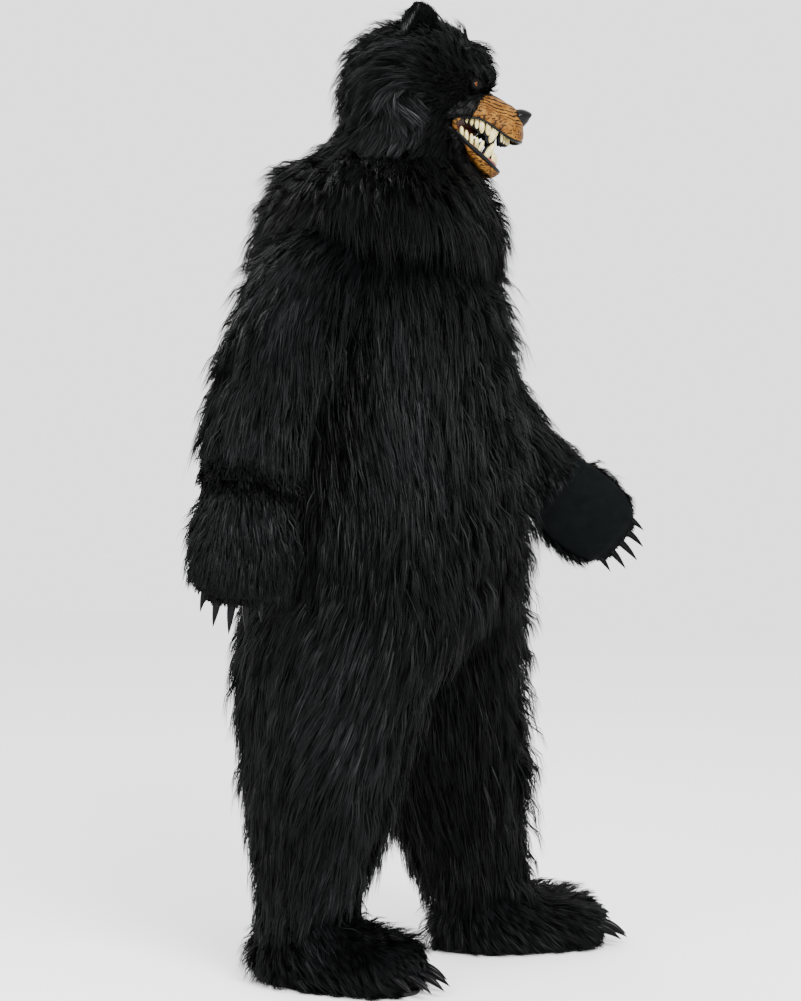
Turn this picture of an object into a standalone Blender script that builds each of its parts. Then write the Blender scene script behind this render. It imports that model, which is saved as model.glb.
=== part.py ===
"""Full-body black bear costume, worn: fur suit, mask with open mouth, clawed mitts and clawed foot covers.

Metres, +Z up. The wearer's chest faces -Y and the wearer's right side is -X. Heights in the tables are above
the floor; the finished costume hangs from an empty so that the origin lies where the shoulders carry it.
Each fur wall is as thick as its laid pile, so its outer face is where the fur reaches.
"""

import math
from collections import namedtuple

import bmesh
import bpy
import numpy as np
from mathutils import Vector

for old_object in list(bpy.data.objects):
    bpy.data.objects.remove(old_object, do_unlink=True)

# Driving dimensions
shoulder_height = 1.47
seam_gap = 0.0004
suit_wall = 0.016
hood_wall = 0.012
mitt_wall = 0.010
palm_wall = 0.003
foot_wall = 0.012
latex_wall = 0.005
sole_thickness = 0.008
crotch_height = 0.780
inseam_gap = 0.0012
hem_rise_in_front = 0.024
head_turn = math.radians(24)
suit_lock_depth = 0.009
hood_lock_depth = 0.006
rows_in_lock = 3

# The head looks along head_forward, turned from the chest towards the wearer's left
head_forward = np.array([math.sin(head_turn), -math.cos(head_turn), 0.0])
head_left = np.array([math.cos(head_turn), math.sin(head_turn), 0.0])
upward = np.array([0.0, 0.0, 1.0])

Section = namedtuple("Section", "height centre_x centre_y half_width half_depth")
torso_sections = [
    Section(crotch_height, 0.000, 0.000, 0.298, 0.268),
    Section(0.900, 0.000, -0.002, 0.302, 0.272),
    Section(1.040, 0.000, -0.004, 0.296, 0.264),
    Section(1.180, 0.000, -0.004, 0.288, 0.250),
    Section(1.300, 0.000, -0.003, 0.280, 0.238),
    Section(1.385, 0.000, 0.000, 0.266, 0.226),
    Section(1.425, 0.000, 0.010, 0.246, 0.196),
    Section(1.470, 0.000, 0.014, 0.226, 0.178),
    Section(1.520, 0.000, 0.012, 0.198, 0.158),
    Section(1.556, 0.004, 0.004, 0.164, 0.140),
    Section(1.578, 0.008, -0.006, 0.132, 0.122),
    Section(1.590, 0.012, -0.018, 0.104, 0.102),
]
right_leg_sections = [
    Section(crotch_height - seam_gap, -0.145, 0.000, 0.150, 0.262),
    Section(0.700, -0.154, 0.020, 0.158, 0.230),
    Section(0.600, -0.160, 0.038, 0.155, 0.202),
    Section(0.500, -0.162, 0.050, 0.148, 0.184),
    Section(0.400, -0.163, 0.062, 0.138, 0.166),
    Section(0.300, -0.163, 0.073, 0.122, 0.144),
    Section(0.215, -0.161, 0.081, 0.109, 0.124),
    Section(0.136, -0.160, 0.090, 0.102, 0.112),
]
left_leg_sections = [
    Section(crotch_height - seam_gap, 0.145, 0.000, 0.150, 0.262),
    Section(0.700, 0.158, -0.006, 0.156, 0.222),
    Section(0.600, 0.178, -0.018, 0.153, 0.200),
    Section(0.500, 0.196, -0.034, 0.147, 0.186),
    Section(0.400, 0.214, -0.048, 0.138, 0.174),
    Section(0.300, 0.230, -0.055, 0.126, 0.156),
    Section(0.210, 0.244, -0.072, 0.113, 0.136),
    Section(0.136, 0.253, -0.094, 0.106, 0.118),
]

# A sleeve follows its arm from inside the chest to the wrist; its radii are across and along the arm's width
Station = namedtuple("Station", "x y z radius_across radius_along")
right_sleeve_stations = [
    Station(-0.120, 0.020, 1.415, 0.072, 0.078),
    Station(-0.230, 0.034, 1.376, 0.106, 0.116),
    Station(-0.338, 0.052, 1.250, 0.104, 0.114),
    Station(-0.400, 0.063, 1.140, 0.100, 0.108),
    Station(-0.434, 0.068, 1.050, 0.096, 0.102),
    Station(-0.447, 0.070, 0.985, 0.098, 0.106),
]
left_sleeve_stations = [
    Station(0.120, 0.010, 1.415, 0.072, 0.078),
    Station(0.230, 0.000, 1.372, 0.106, 0.114),
    Station(0.322, -0.012, 1.256, 0.104, 0.108),
    Station(0.386, -0.040, 1.146, 0.100, 0.102),
    Station(0.446, -0.096, 1.046, 0.093, 0.094),
    Station(0.502, -0.160, 0.968, 0.090, 0.092),
]

# Worn creases: soft troughs in the suit, placed by how far down the piece they lie and the way they face
Crease = namedtuple("Crease", "down facing depth half_height half_turn slant")
torso_creases = [
    Crease(0.30, 40, 0.010, 0.035, 34, 0.06),
    Crease(0.42, -62, 0.009, 0.030, 30, -0.08),
    Crease(0.72, 14, 0.008, 0.040, 46, 0.02),
    Crease(0.55, 150, 0.009, 0.034, 38, 0.05),
    Crease(0.80, -150, 0.010, 0.040, 42, -0.04),
]
leg_creases = [
    Crease(0.24, -30, 0.011, 0.040, 48, 0.10),
    Crease(0.47, 60, 0.012, 0.038, 44, -0.12),
    Crease(0.62, -100, 0.010, 0.032, 40, 0.08),
    Crease(0.80, 150, 0.012, 0.030, 56, 0.05),
    Crease(0.90, -20, 0.009, 0.026, 60, -0.04),
]
sleeve_creases = [
    Crease(0.34, 20, 0.009, 0.045, 50, 0.10),
    Crease(0.52, 180, 0.012, 0.040, 54, -0.06),
    Crease(0.70, 80, 0.008, 0.034, 46, 0.08),
]

# The mask, in the head's own directions: forward and backward reach and half its breadth
HoodSection = namedtuple("HoodSection", "height back front half_breadth")
hood_sections = [
    HoodSection(1.6254, -0.156, 0.176, 0.124),
    HoodSection(1.650, -0.114, 0.166, 0.126),
    HoodSection(1.680, -0.086, 0.163, 0.130),
    HoodSection(1.710, -0.081, 0.170, 0.137),
    HoodSection(1.745, -0.084, 0.206, 0.142),
    HoodSection(1.778, -0.083, 0.226, 0.141),
    HoodSection(1.808, -0.076, 0.218, 0.134),
    HoodSection(1.838, -0.063, 0.200, 0.121),
    HoodSection(1.862, -0.038, 0.174, 0.100),
    HoodSection(1.882, -0.006, 0.140, 0.068),
    HoodSection(1.893, 0.032, 0.104, 0.034),
]
hood_crown = (0.066, 1.896)
face_taper = 0.30
BibSection = namedtuple("BibSection", "height side_height back front half_breadth")
bib_sections = [
    BibSection(1.438, 1.510, -0.254, 0.220, 0.268),
    BibSection(1.482, 1.534, -0.246, 0.222, 0.252),
    BibSection(1.522, 1.560, -0.234, 0.217, 0.230),
    BibSection(1.558, 1.584, -0.224, 0.201, 0.202),
    BibSection(1.588, 1.602, -0.211, 0.184, 0.168),
    BibSection(1.608, 1.614, -0.188, 0.178, 0.140),
    BibSection(1.625, 1.625, -0.157, 0.177, 0.125),
]

# Latex muzzle and jaw: sections across the face, from the mouth corners to the front
JawSection = namedtuple("JawSection", "forward half_breadth top bottom")
muzzle_sections = [
    JawSection(0.118, 0.078, 1.776, 1.696),
    JawSection(0.150, 0.074, 1.772, 1.699),
    JawSection(0.180, 0.066, 1.764, 1.700),
    JawSection(0.210, 0.057, 1.752, 1.686),
    JawSection(0.235, 0.050, 1.738, 1.668),
    JawSection(0.255, 0.041, 1.725, 1.658),
    JawSection(0.268, 0.028, 1.714, 1.656),
    JawSection(0.275, 0.000, 1.704, 1.661),
]
jaw_sections = [
    JawSection(0.112, 0.070, 1.686, 1.664),
    JawSection(0.140, 0.066, 1.676, 1.645),
    JawSection(0.165, 0.058, 1.651, 1.617),
    JawSection(0.190, 0.048, 1.629, 1.592),
    JawSection(0.208, 0.036, 1.614, 1.588),
    JawSection(0.220, 0.022, 1.605, 1.591),
    JawSection(0.227, 0.000, 1.601, 1.596),
]
# Teeth by their distance along the gum from the middle of its front; lean is how far forward the tip stands
Tooth = namedtuple("Tooth", "from_front length width lean")
upper_teeth = [
    Tooth(0.0040, 0.013, 0.007, 0.000),
    Tooth(0.0125, 0.013, 0.007, 0.000),
    Tooth(0.0215, 0.014, 0.007, 0.000),
    Tooth(0.0310, 0.015, 0.007, 0.000),
    Tooth(0.0420, 0.015, 0.007, 0.001),
    Tooth(0.0630, 0.027, 0.013, -0.011),
    Tooth(0.0825, 0.020, 0.011, 0.000),
    Tooth(0.0955, 0.021, 0.011, 0.001),
    Tooth(0.1070, 0.018, 0.010, 0.002),
    Tooth(0.1172, 0.014, 0.008, 0.001),
    Tooth(0.1265, 0.009, 0.007, 0.000),
]
lower_teeth = [
    Tooth(0.0040, 0.012, 0.006, 0.002),
    Tooth(0.0125, 0.013, 0.007, 0.002),
    Tooth(0.0215, 0.013, 0.007, 0.003),
    Tooth(0.0335, 0.026, 0.011, 0.017),
    Tooth(0.0470, 0.018, 0.009, 0.010),
    Tooth(0.0570, 0.018, 0.009, 0.003),
    Tooth(0.0668, 0.018, 0.009, 0.002),
    Tooth(0.0768, 0.018, 0.009, 0.002),
    Tooth(0.0868, 0.016, 0.009, 0.001),
]
gum_width = 0.006
gum_height = 0.008

ear_height = 0.078
ear_half_width = 0.044
ear_cup = 0.020
ear_wall = 0.007
ear_base = (0.076, 0.082, 1.842)
eye_radius = 0.012
eye_place = (0.180, 1.762)
eye_sunk = 0.009
nose_place = (0.274, 1.702)
nose_half_breadth = 0.021

# Mitts: half width and half thickness along the hand, as shares of its length
MittSection = namedtuple("MittSection", "along half_width back_depth palm_depth")
mitt_sections = [
    MittSection(-0.20, 0.066, 0.062, 0.056),
    MittSection(-0.08, 0.070, 0.064, 0.054),
    MittSection(0.06, 0.078, 0.062, 0.044),
    MittSection(0.28, 0.090, 0.060, 0.036),
    MittSection(0.52, 0.092, 0.056, 0.032),
    MittSection(0.74, 0.086, 0.048, 0.028),
    MittSection(0.90, 0.068, 0.036, 0.022),
    MittSection(1.00, 0.046, 0.004, 0.004),
]
Hand = namedtuple("Hand", "wrist tip palm_faces cuff_fullness")
right_hand = Hand((-0.447, 0.074, 0.985), (-0.470, 0.096, 0.766), (0.914, 0.407, 0.0), 1.16)
left_hand = Hand((0.502, -0.160, 0.968), (0.606, -0.288, 0.832), (-0.914, -0.407, 0.0), 1.0)
Claw = namedtuple("Claw", "across length radius")
hand_claws = [
    Claw(-0.74, 0.040, 0.0060),
    Claw(-0.40, 0.046, 0.0066),
    Claw(-0.03, 0.048, 0.0068),
    Claw(0.34, 0.046, 0.0066),
    Claw(0.68, 0.040, 0.0060),
]

# Foot covers: reach of the heel and toes from the ankle and half the breadth
FootSection = namedtuple("FootSection", "height heel toe half_breadth")
foot_sections = [
    FootSection(sole_thickness + seam_gap, -0.110, 0.240, 0.084),
    FootSection(0.030, -0.122, 0.254, 0.094),
    FootSection(0.055, -0.124, 0.254, 0.096),
    FootSection(0.080, -0.120, 0.246, 0.093),
    FootSection(0.100, -0.108, 0.222, 0.086),
    FootSection(0.115, -0.095, 0.180, 0.076),
    FootSection(0.127, -0.084, 0.134, 0.069),
    FootSection(0.138, -0.072, 0.090, 0.063),
    FootSection(0.152, -0.071, 0.064, 0.062),
    FootSection(0.190, -0.072, 0.056, 0.064),
]
Foot = namedtuple("Foot", "ankle_x ankle_y toe_out")
right_foot = Foot(-0.163, 0.090, 4)
left_foot = Foot(0.265, -0.118, 37)
foot_claws = [
    Claw(-0.70, 0.036, 0.0062),
    Claw(-0.38, 0.040, 0.0068),
    Claw(-0.04, 0.042, 0.0070),
    Claw(0.32, 0.040, 0.0068),
    Claw(0.66, 0.036, 0.0062),
]

wearer_frame = bpy.data.objects.new("wearer_frame", None)
wearer_frame.location = (0, 0, -shoulder_height)
bpy.context.scene.collection.objects.link(wearer_frame)


def finish(name, colour, roughness):
    """A Principled material with the part's colour and roughness."""
    made = bpy.data.materials.new(name)
    made.use_nodes = True
    shader = made.node_tree.nodes["Principled BSDF"]
    shader.inputs["Base Color"].default_value = (*colour, 1.0)
    shader.inputs["Roughness"].default_value = roughness
    shader.inputs["Metallic"].default_value = 0.0
    return made


suit_fur = finish("suit_fur", (0.012, 0.012, 0.013), 0.62)
mask_fur = finish("mask_fur", (0.014, 0.014, 0.015), 0.62)
palm_cloth = finish("palm_cloth", (0.010, 0.011, 0.012), 0.85)
tan_latex = finish("tan_latex", (0.42, 0.17, 0.045), 0.55)
nose_latex = finish("nose_latex", (0.010, 0.010, 0.011), 0.25)
tooth_resin = finish("tooth_resin", (0.72, 0.62, 0.36), 0.35)
eye_resin = finish("eye_resin", (0.28, 0.09, 0.015), 0.12)
claw_plastic = finish("claw_plastic", (0.020, 0.019, 0.018), 0.35)
sole_rubber = finish("sole_rubber", (0.012, 0.012, 0.012), 0.75)


def unit(vectors):
    """Vectors of length one, along the last axis."""
    vectors = np.asarray(vectors, float)
    return vectors / np.maximum(np.linalg.norm(vectors, axis=-1, keepdims=True), 1e-9)


def smooth_rows(rows, count):
    """A table's rows read along a Catmull-Rom curve, at count even steps of the way between its places."""
    table = np.array(rows, float)
    padded = np.vstack([2 * table[0] - table[1], table, 2 * table[-1] - table[-2]])
    steps = np.linalg.norm(np.diff(table[:, :3], axis=0), axis=1)
    reach = np.concatenate([[0], np.cumsum(steps)])
    wanted = np.linspace(0, reach[-1], count)
    spans = np.clip(np.searchsorted(reach, wanted, side="right") - 1, 0, len(steps) - 1)
    share = ((wanted - reach[spans]) / steps[spans])[:, None]
    before, start, end, after = (padded[spans + k] for k in range(4))
    return 0.5 * (
        2 * start
        + (end - before) * share
        + (2 * before - 5 * start + 4 * end - after) * share**2
        + (3 * start - before - 3 * end + after) * share**3
    )


def outward_normals(grid, is_round, middles):
    """Unit normals of a grid of points, pointing away from the middle of each row."""
    if is_round:
        around = np.roll(grid, -1, axis=1) - np.roll(grid, 1, axis=1)
    else:
        around = np.gradient(grid, axis=1)
    along = np.gradient(grid, axis=0)
    normals = unit(np.cross(around, along))
    if ((grid - middles[:, None, :]) * normals).sum() < 0:
        normals = -normals
    return normals


def creased(grid, normals, creases, turn):
    """The grid with each crease pressed in as a soft trough; turn is each column's facing in degrees."""
    rows, columns = grid.shape[:2]
    down = np.linspace(0, 1, rows)[:, None]
    pressed = np.zeros((rows, columns))
    for crease in creases:
        off = (turn[None, :] - crease.facing + 180) % 360 - 180
        away = (down - crease.down - crease.slant * off / 90) / crease.half_height
        pressed += crease.depth * np.exp(-(away**2) - (off / crease.half_turn) ** 2)
    return grid - normals * pressed[:, :, None]


def lock_relief(rows, columns, depth):
    """How far each outer point stands out as lapping locks: raised middles that step down at their tips."""
    row, column = np.meshgrid(np.arange(rows), np.arange(columns), indexing="ij")
    stagger = (column // 2 * 7) % rows_in_lock
    step = ((row + stagger) % rows_in_lock) / (rows_in_lock - 1)
    centre = np.where(column % 2 == 0, 1.0, 0.25)
    uneven = 0.75 + 0.25 * np.sin(2.3 * row + 4.1 * column)
    return depth * (step * centre * uneven - 0.5)


def made_object(name, vertices, faces, material):
    """A named, smooth-shaded object with its faces turned outwards and its doubled points merged."""
    mesh = bpy.data.meshes.new(name)
    mesh.from_pydata([tuple(v) for v in vertices], [], faces)
    shape = bmesh.new()
    shape.from_mesh(mesh)
    bmesh.ops.remove_doubles(shape, verts=shape.verts, dist=1e-6)
    bmesh.ops.recalc_face_normals(shape, faces=shape.faces)
    bmesh.ops.triangulate(shape, faces=shape.faces)
    shape.to_mesh(mesh)
    shape.free()
    mesh.materials.append(material)
    mesh.shade_smooth()
    mesh.set_sharp_from_angle(angle=math.radians(45))
    made = bpy.data.objects.new(name, mesh)
    bpy.context.scene.collection.objects.link(made)
    made.parent = wearer_frame
    return made


def strip_faces(first, second, is_round):
    """Quads between two equal rows of point numbers."""
    count = len(first)
    pairs = range(count if is_round else count - 1)
    return [(first[k], first[(k + 1) % count], second[(k + 1) % count], second[k]) for k in pairs]


def wall(name, outer, inner, is_round, material, meets_itself=False):
    """A closed wall between two grids, with a rim round its edges but not where its last row meets itself."""
    rows, columns = outer.shape[:2]
    number = np.arange(rows * columns).reshape(rows, columns)
    under = number + rows * columns
    faces = []
    for k in range(rows - 1):
        faces += strip_faces(number[k], number[k + 1], is_round)
        faces += strip_faces(under[k + 1], under[k], is_round)
    faces += strip_faces(under[0], number[0], is_round)
    if not meets_itself:
        faces += strip_faces(number[-1], under[-1], is_round)
    if not is_round:
        faces += strip_faces(number[:, 0], under[:, 0], False)
        faces += strip_faces(under[:, -1], number[:, -1], False)
    points = np.concatenate([outer.reshape(-1, 3), inner.reshape(-1, 3)])
    return made_object(name, points, faces, material)


def filled(name, grid, is_round=True):
    """A hidden cutter: the closed volume within a grid of rings, or within arches closed by their chords."""
    rows, columns = grid.shape[:2]
    number = np.arange(rows * columns).reshape(rows, columns)
    faces = []
    for k in range(rows - 1):
        faces += strip_faces(number[k], number[k + 1], is_round)
        if not is_round:
            faces.append((number[k, 0], number[k, -1], number[k + 1, -1], number[k + 1, 0]))
    faces.append(tuple(number[0]))
    faces.append(tuple(number[-1]))
    cutter = made_object(name, grid.reshape(-1, 3), faces, suit_fur)
    cutter.hide_render = True
    cutter.display_type = "WIRE"
    return cutter


def cut(target, cutter):
    """Takes the cutter's volume from the target."""
    boolean = target.modifiers.new("cut_" + cutter.name, "BOOLEAN")
    boolean.operation = "DIFFERENCE"
    boolean.solver = "EXACT"
    boolean.object = cutter


def panel(name, outer, inner, first, last, material):
    """The wall between two columns of a round grid, its edges drawn back to leave half a seam gap each."""
    columns = np.arange(first, last + 1) % outer.shape[1]
    outer, inner = outer[:, columns].copy(), inner[:, columns].copy()
    for points in (outer, inner):
        points[:, 0] += unit(points[:, 1] - points[:, 0]) * seam_gap / 2
        points[:, -1] += unit(points[:, -2] - points[:, -1]) * seam_gap / 2
    return wall(name, outer, inner, False, material)


# Torso: rings from the crotch to the neck; column 0 faces the front and columns run towards the wearer's left
torso_columns = 32
torso_rows = 14
torso_table = smooth_rows(torso_sections, torso_rows)
torso_turn = np.degrees(np.arange(torso_columns) * 2 * math.pi / torso_columns)


def oval_rings(table, columns):
    """Level rings of points from rows of height, centre_x, centre_y, half_width, half_depth."""
    angle = np.arange(columns) * 2 * math.pi / columns
    height, centre_x, centre_y, half_width, half_depth = (table[:, k, None] for k in range(5))
    x = centre_x + half_width * np.sin(angle)
    y = centre_y - half_depth * np.cos(angle)
    return np.stack([x, y, height + 0 * x], axis=2)


torso_grid = oval_rings(torso_table, torso_columns)
torso_middles = torso_table[:, [1, 2, 0]] - [0, 0, 0.10]
torso_normals = outward_normals(torso_grid, True, torso_middles)
torso_grid = creased(torso_grid[::-1], torso_normals[::-1], torso_creases, torso_turn)[::-1]
fade_at_neck = np.clip((1.46 - torso_table[:, 0]) / 0.06, 0, 1)[:, None]
torso_relief = lock_relief(torso_rows, torso_columns, suit_lock_depth)[::-1] * fade_at_neck
torso_outer = torso_grid + torso_normals * torso_relief[:, :, None]
torso_inner = torso_grid - torso_normals * suit_wall
torso_front = panel("torso_front", torso_outer, torso_inner, 24, 40, suit_fur)
torso_back_left = panel("torso_back_left", torso_outer, torso_inner, 8, 16, suit_fur)
torso_back_right = panel("torso_back_right", torso_outer, torso_inner, 16, 24, suit_fur)
torso_panels = [torso_front, torso_back_left, torso_back_right]

below_torso = torso_inner[0] - [0, 0, 0.05]
torso_hollow = filled("torso_hollow_cutter", np.concatenate([below_torso[None], torso_inner]))

# Legs: each starts as its half of the torso's lowest ring, closed along the middle, and rounds off below
leg_columns = 20
leg_rows = 13
top_half_width = torso_sections[0].half_width
top_half_depth = torso_sections[0].half_depth


def half_torso_radius(angle, side, centre):
    """How far each way runs from centre to the torso's lowest ring or the inseam, with rounded corners."""
    step_x, step_y = np.sin(angle), -np.cos(angle)
    a = (step_x / top_half_width) ** 2 + (step_y / top_half_depth) ** 2
    b = centre[0] * step_x / top_half_width**2 + centre[1] * step_y / top_half_depth**2
    c = (centre[0] / top_half_width) ** 2 + (centre[1] / top_half_depth) ** 2 - 1
    to_ring = (-b + np.sqrt(b**2 - a * c)) / a
    inward = np.maximum(-side * step_x, 1e-6)
    to_inseam = (abs(centre[0]) - inseam_gap) / inward
    roundness = 9.0
    return (to_ring**-roundness + to_inseam**-roundness) ** (-1 / roundness)


def leg(name, sections, side):
    """One trouser leg as a tube of level rings, open at the hip and the hem."""
    table = smooth_rows(sections, leg_rows)
    angle = np.arange(leg_columns) * 2 * math.pi / leg_columns
    down = np.linspace(0, 1, leg_rows)
    rounding = np.clip(down / 0.42, 0, 1)
    rounding = (rounding**2 * (3 - 2 * rounding))[:, None]
    half_width, half_depth = table[:, 3, None], table[:, 4, None]
    oval = 1 / np.sqrt((np.sin(angle) / half_width) ** 2 + (np.cos(angle) / half_depth) ** 2)
    start = half_torso_radius(angle, side, (sections[0].centre_x, sections[0].centre_y))
    radius = (1 - rounding) * start + rounding * oval
    x = table[:, 1, None] + radius * np.sin(angle)
    y = table[:, 2, None] - radius * np.cos(angle)
    limit = -inseam_gap if side < 0 else inseam_gap
    x = np.minimum(x, limit) if side < 0 else np.maximum(x, limit)
    hem_share = np.clip((down - 0.72) / 0.28, 0, 1)[:, None]
    height = table[:, 0, None] + hem_rise_in_front * hem_share * np.cos(angle)
    grid = np.stack([x, y, height], axis=2)
    middles = table[:, [1, 2, 0]]
    normals = outward_normals(grid, True, middles)
    normals = unit(normals * [1, 1, 0.4])
    turn = np.degrees(angle) * side
    grid = creased(grid, normals, leg_creases, turn)
    outside = np.clip(side * grid[:, :, 0] / 0.05, 0, 1)
    relief = lock_relief(leg_rows, leg_columns, suit_lock_depth) * outside
    relief = np.minimum(relief, np.where(outside < 1, 0, relief))
    outer = grid + normals * relief[:, :, None]
    inner = grid - normals * suit_wall
    inner[0, :, 2] = grid[0, :, 2]
    outer[0, :, 2] = grid[0, :, 2]
    inner[-1, :, 2] = grid[-1, :, 2]
    outer[-1, :, 2] = grid[-1, :, 2]
    return wall(name, outer, inner, True, suit_fur)


leg_right = leg("leg_right", right_leg_sections, -1)
leg_left = leg("leg_left", left_leg_sections, 1)

# Sleeves: rings square to the arm, from inside the chest to the wrist
sleeve_columns = 18
sleeve_rows = 12


def rings_along(table, columns, hint):
    """Rings square to a path of x, y, z, radius across and radius along the hint, and their middles."""
    middles = table[:, :3]
    tangent = unit(np.gradient(middles, axis=0))
    along = unit(hint - (tangent @ hint)[:, None] * tangent)
    across = np.cross(tangent, along)
    angle = np.arange(columns) * 2 * math.pi / columns
    reach_across = table[:, 3, None, None] * np.cos(angle)[None, :, None]
    reach_along = table[:, 4, None, None] * np.sin(angle)[None, :, None]
    grid = middles[:, None] + across[:, None] * reach_across + along[:, None] * reach_along
    return grid, middles


def sleeve(name, stations):
    """One sleeve, trimmed at the torso's inside, and the armhole that its outer volume cuts in the torso."""
    table = smooth_rows(stations, sleeve_rows)
    grid, middles = rings_along(table, sleeve_columns, np.array([0.0, -1.0, 0.0]))
    normals = outward_normals(grid, True, middles)
    turn = np.degrees(np.arange(sleeve_columns) * 2 * math.pi / sleeve_columns)
    grid = creased(grid, normals, sleeve_creases, turn)
    clear_of_bib = np.clip((np.linspace(0, 1, sleeve_rows) - 0.3) / 0.15, 0, 1)[:, None]
    relief = lock_relief(sleeve_rows, sleeve_columns, suit_lock_depth) * clear_of_bib
    outer = grid + normals * relief[:, :, None]
    inner = grid - normals * suit_wall
    made = wall(name, outer, inner, True, suit_fur)
    cut(made, torso_hollow)
    armhole = filled(name + "_armhole_cutter", outer + normals * seam_gap)
    for torso_panel in torso_panels:
        cut(torso_panel, armhole)
    return made


sleeve_right = sleeve("sleeve_right", right_sleeve_stations)
sleeve_left = sleeve("sleeve_left", left_sleeve_stations)

# Mask hood and bib
hood_columns = 26
hood_rows = 12
bib_rows = 6


def head_point(forward, left, height):
    """A place on the head: forward and left of the body's axis, and its height."""
    forward, left, height = np.broadcast_arrays(forward, left, height)
    return forward[..., None] * head_forward + left[..., None] * head_left + height[..., None] * upward


def head_rings(height, back, front, half_breadth, angle, taper=0.0):
    """Rings from forward round to the wearer's left; taper narrows them towards the face."""
    middle, half_length = (front + back) / 2, (front - back) / 2
    breadth = half_breadth * np.sin(angle) * (1 - taper * np.clip(np.cos(angle), 0, 1))
    return head_point(middle + half_length * np.cos(angle), breadth, height)


hood_table = smooth_rows(hood_sections, hood_rows)
head_angle = np.arange(hood_columns) * 2 * math.pi / hood_columns
hood_taper = face_taper * np.clip((hood_table[:, 0, None] - hood_table[0, 0]) / 0.06, 0, 1)
hood_grid = head_rings(*(hood_table[:, k, None] for k in range(4)), head_angle, hood_taper)
hood_middles = head_point((hood_table[:, 1] + hood_table[:, 2]) / 2, 0.0, hood_table[:, 0] - 0.05)
hood_normals = outward_normals(hood_grid, True, hood_middles)
hood_relief = lock_relief(hood_rows, hood_columns, hood_lock_depth)
hood_relief[:2] = 0
hood_outer = hood_grid + hood_normals * hood_relief[:, :, None]
hood_inner = hood_grid - hood_normals * hood_wall
crown = head_point(np.full(hood_columns, hood_crown[0]), 0.0, hood_crown[1])
hood_outer = np.concatenate([hood_outer, crown[None]])
hood_inner = np.concatenate([hood_inner, (crown - [0, 0, hood_wall])[None]])
hood_inner[0, :, 2] = hood_outer[0, :, 2]
mask_hood = wall("mask_hood", hood_outer, hood_inner, True, mask_fur, meets_itself=True)
hood_clearance = np.concatenate([hood_normals, np.tile(upward, (1, hood_columns, 1))]) * seam_gap
hood_volume = filled("hood_volume_cutter", hood_outer + hood_clearance)

bib_table = smooth_rows(bib_sections, bib_rows)
side_share = np.sin(head_angle) ** 2
bib_height = bib_table[:, 0, None] * (1 - side_share) + bib_table[:, 1, None] * side_share
bib_grid = head_rings(bib_height, *(bib_table[:, k, None] for k in (2, 3, 4)), head_angle)
bib_middles = head_point((bib_table[:, 2] + bib_table[:, 3]) / 2, 0.0, bib_table[:, 0] - 0.12)
bib_normals = outward_normals(bib_grid, True, bib_middles)
bib_relief = lock_relief(bib_rows, hood_columns, hood_lock_depth)[::-1] + hood_lock_depth / 2
bib_relief[-2:] = 0
bib_outer = bib_grid + bib_normals * bib_relief[:, :, None]
bib_inner = bib_grid - bib_normals * hood_wall
bib_inner[-1, :, 2] = bib_outer[-1, :, 2]
mask_bib = wall("mask_bib", bib_outer, bib_inner, True, mask_fur)

# Latex muzzle and lower jaw: arches across the face, open to the mouth and into the hood
arch_columns = 13
arch_rows = 9


def arches(sections, upper, shrink):
    """Arches across the face from rows of forward, half_breadth, top, bottom, each drawn in by shrink."""
    table = smooth_rows(sections, arch_rows)
    forward, half_breadth, top, bottom = (table[:, k, None] for k in range(4))
    half_breadth = np.maximum(half_breadth - shrink, 0)
    half_breadth[-1] = 0
    forward = forward - shrink * np.linspace(0, 1, arch_rows)[:, None] ** 3
    angle = np.linspace(0, math.pi, arch_columns)
    breadth = -np.sign(np.cos(angle)) * np.abs(np.cos(angle)) ** 0.8
    rise = np.sin(angle) ** 0.8
    if upper:
        height = bottom + (top - shrink - bottom) * rise
    else:
        height = top - (top - shrink - bottom) * rise
    return head_point(forward, half_breadth * breadth, height)


def grown_arches(sections, upper, shrink):
    """The arches drawn in by shrink, with their lips set out past the real lips, for use in a cutter."""
    grid = arches(sections, upper, shrink)
    past = 2 * seam_gap * (-1 if upper else 1)
    grid[:, 0, 2] += past
    grid[:, -1, 2] += past
    return grid


def latex_piece(name, sections, upper):
    """The muzzle or the jaw as a latex wall, whose two sides meet at the front."""
    outer, inner = arches(sections, upper, 0), arches(sections, upper, latex_wall)
    return wall(name, outer, inner, False, tan_latex, meets_itself=True)


muzzle = latex_piece("muzzle", muzzle_sections, True)
jaw = latex_piece("jaw", jaw_sections, False)
grown_muzzle = grown_arches(muzzle_sections, True, -2 * seam_gap)
grown_jaw = grown_arches(jaw_sections, False, -2 * seam_gap)
muzzle_volume = filled("muzzle_volume_cutter", grown_muzzle, is_round=False)
jaw_volume = filled("jaw_volume_cutter", grown_jaw, is_round=False)


def mouth_wedge():
    """The open mouth between the lips, as a hidden cutter."""
    half_breadth = 0.063
    outline = [(0.105, 1.700), (0.180, 1.705), (0.290, 1.665), (0.250, 1.596), (0.165, 1.647), (0.105, 1.681)]
    forward, height = np.array(outline).T
    sides = [head_point(forward, left, height) for left in (-half_breadth, half_breadth)]
    return filled("mouth_cutter", np.array(sides))


mouth = mouth_wedge()
for cutter in (muzzle_volume, jaw_volume, mouth):
    cut(mask_hood, cutter)
cut(mask_bib, jaw_volume)


def section_at(sections, forward):
    """The half breadth, top and bottom of a jaw table at one place forward."""
    table = smooth_rows(sections, 60)
    return [float(np.interp(forward, table[:, 0], table[:, k])) for k in (1, 2, 3)]


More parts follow.
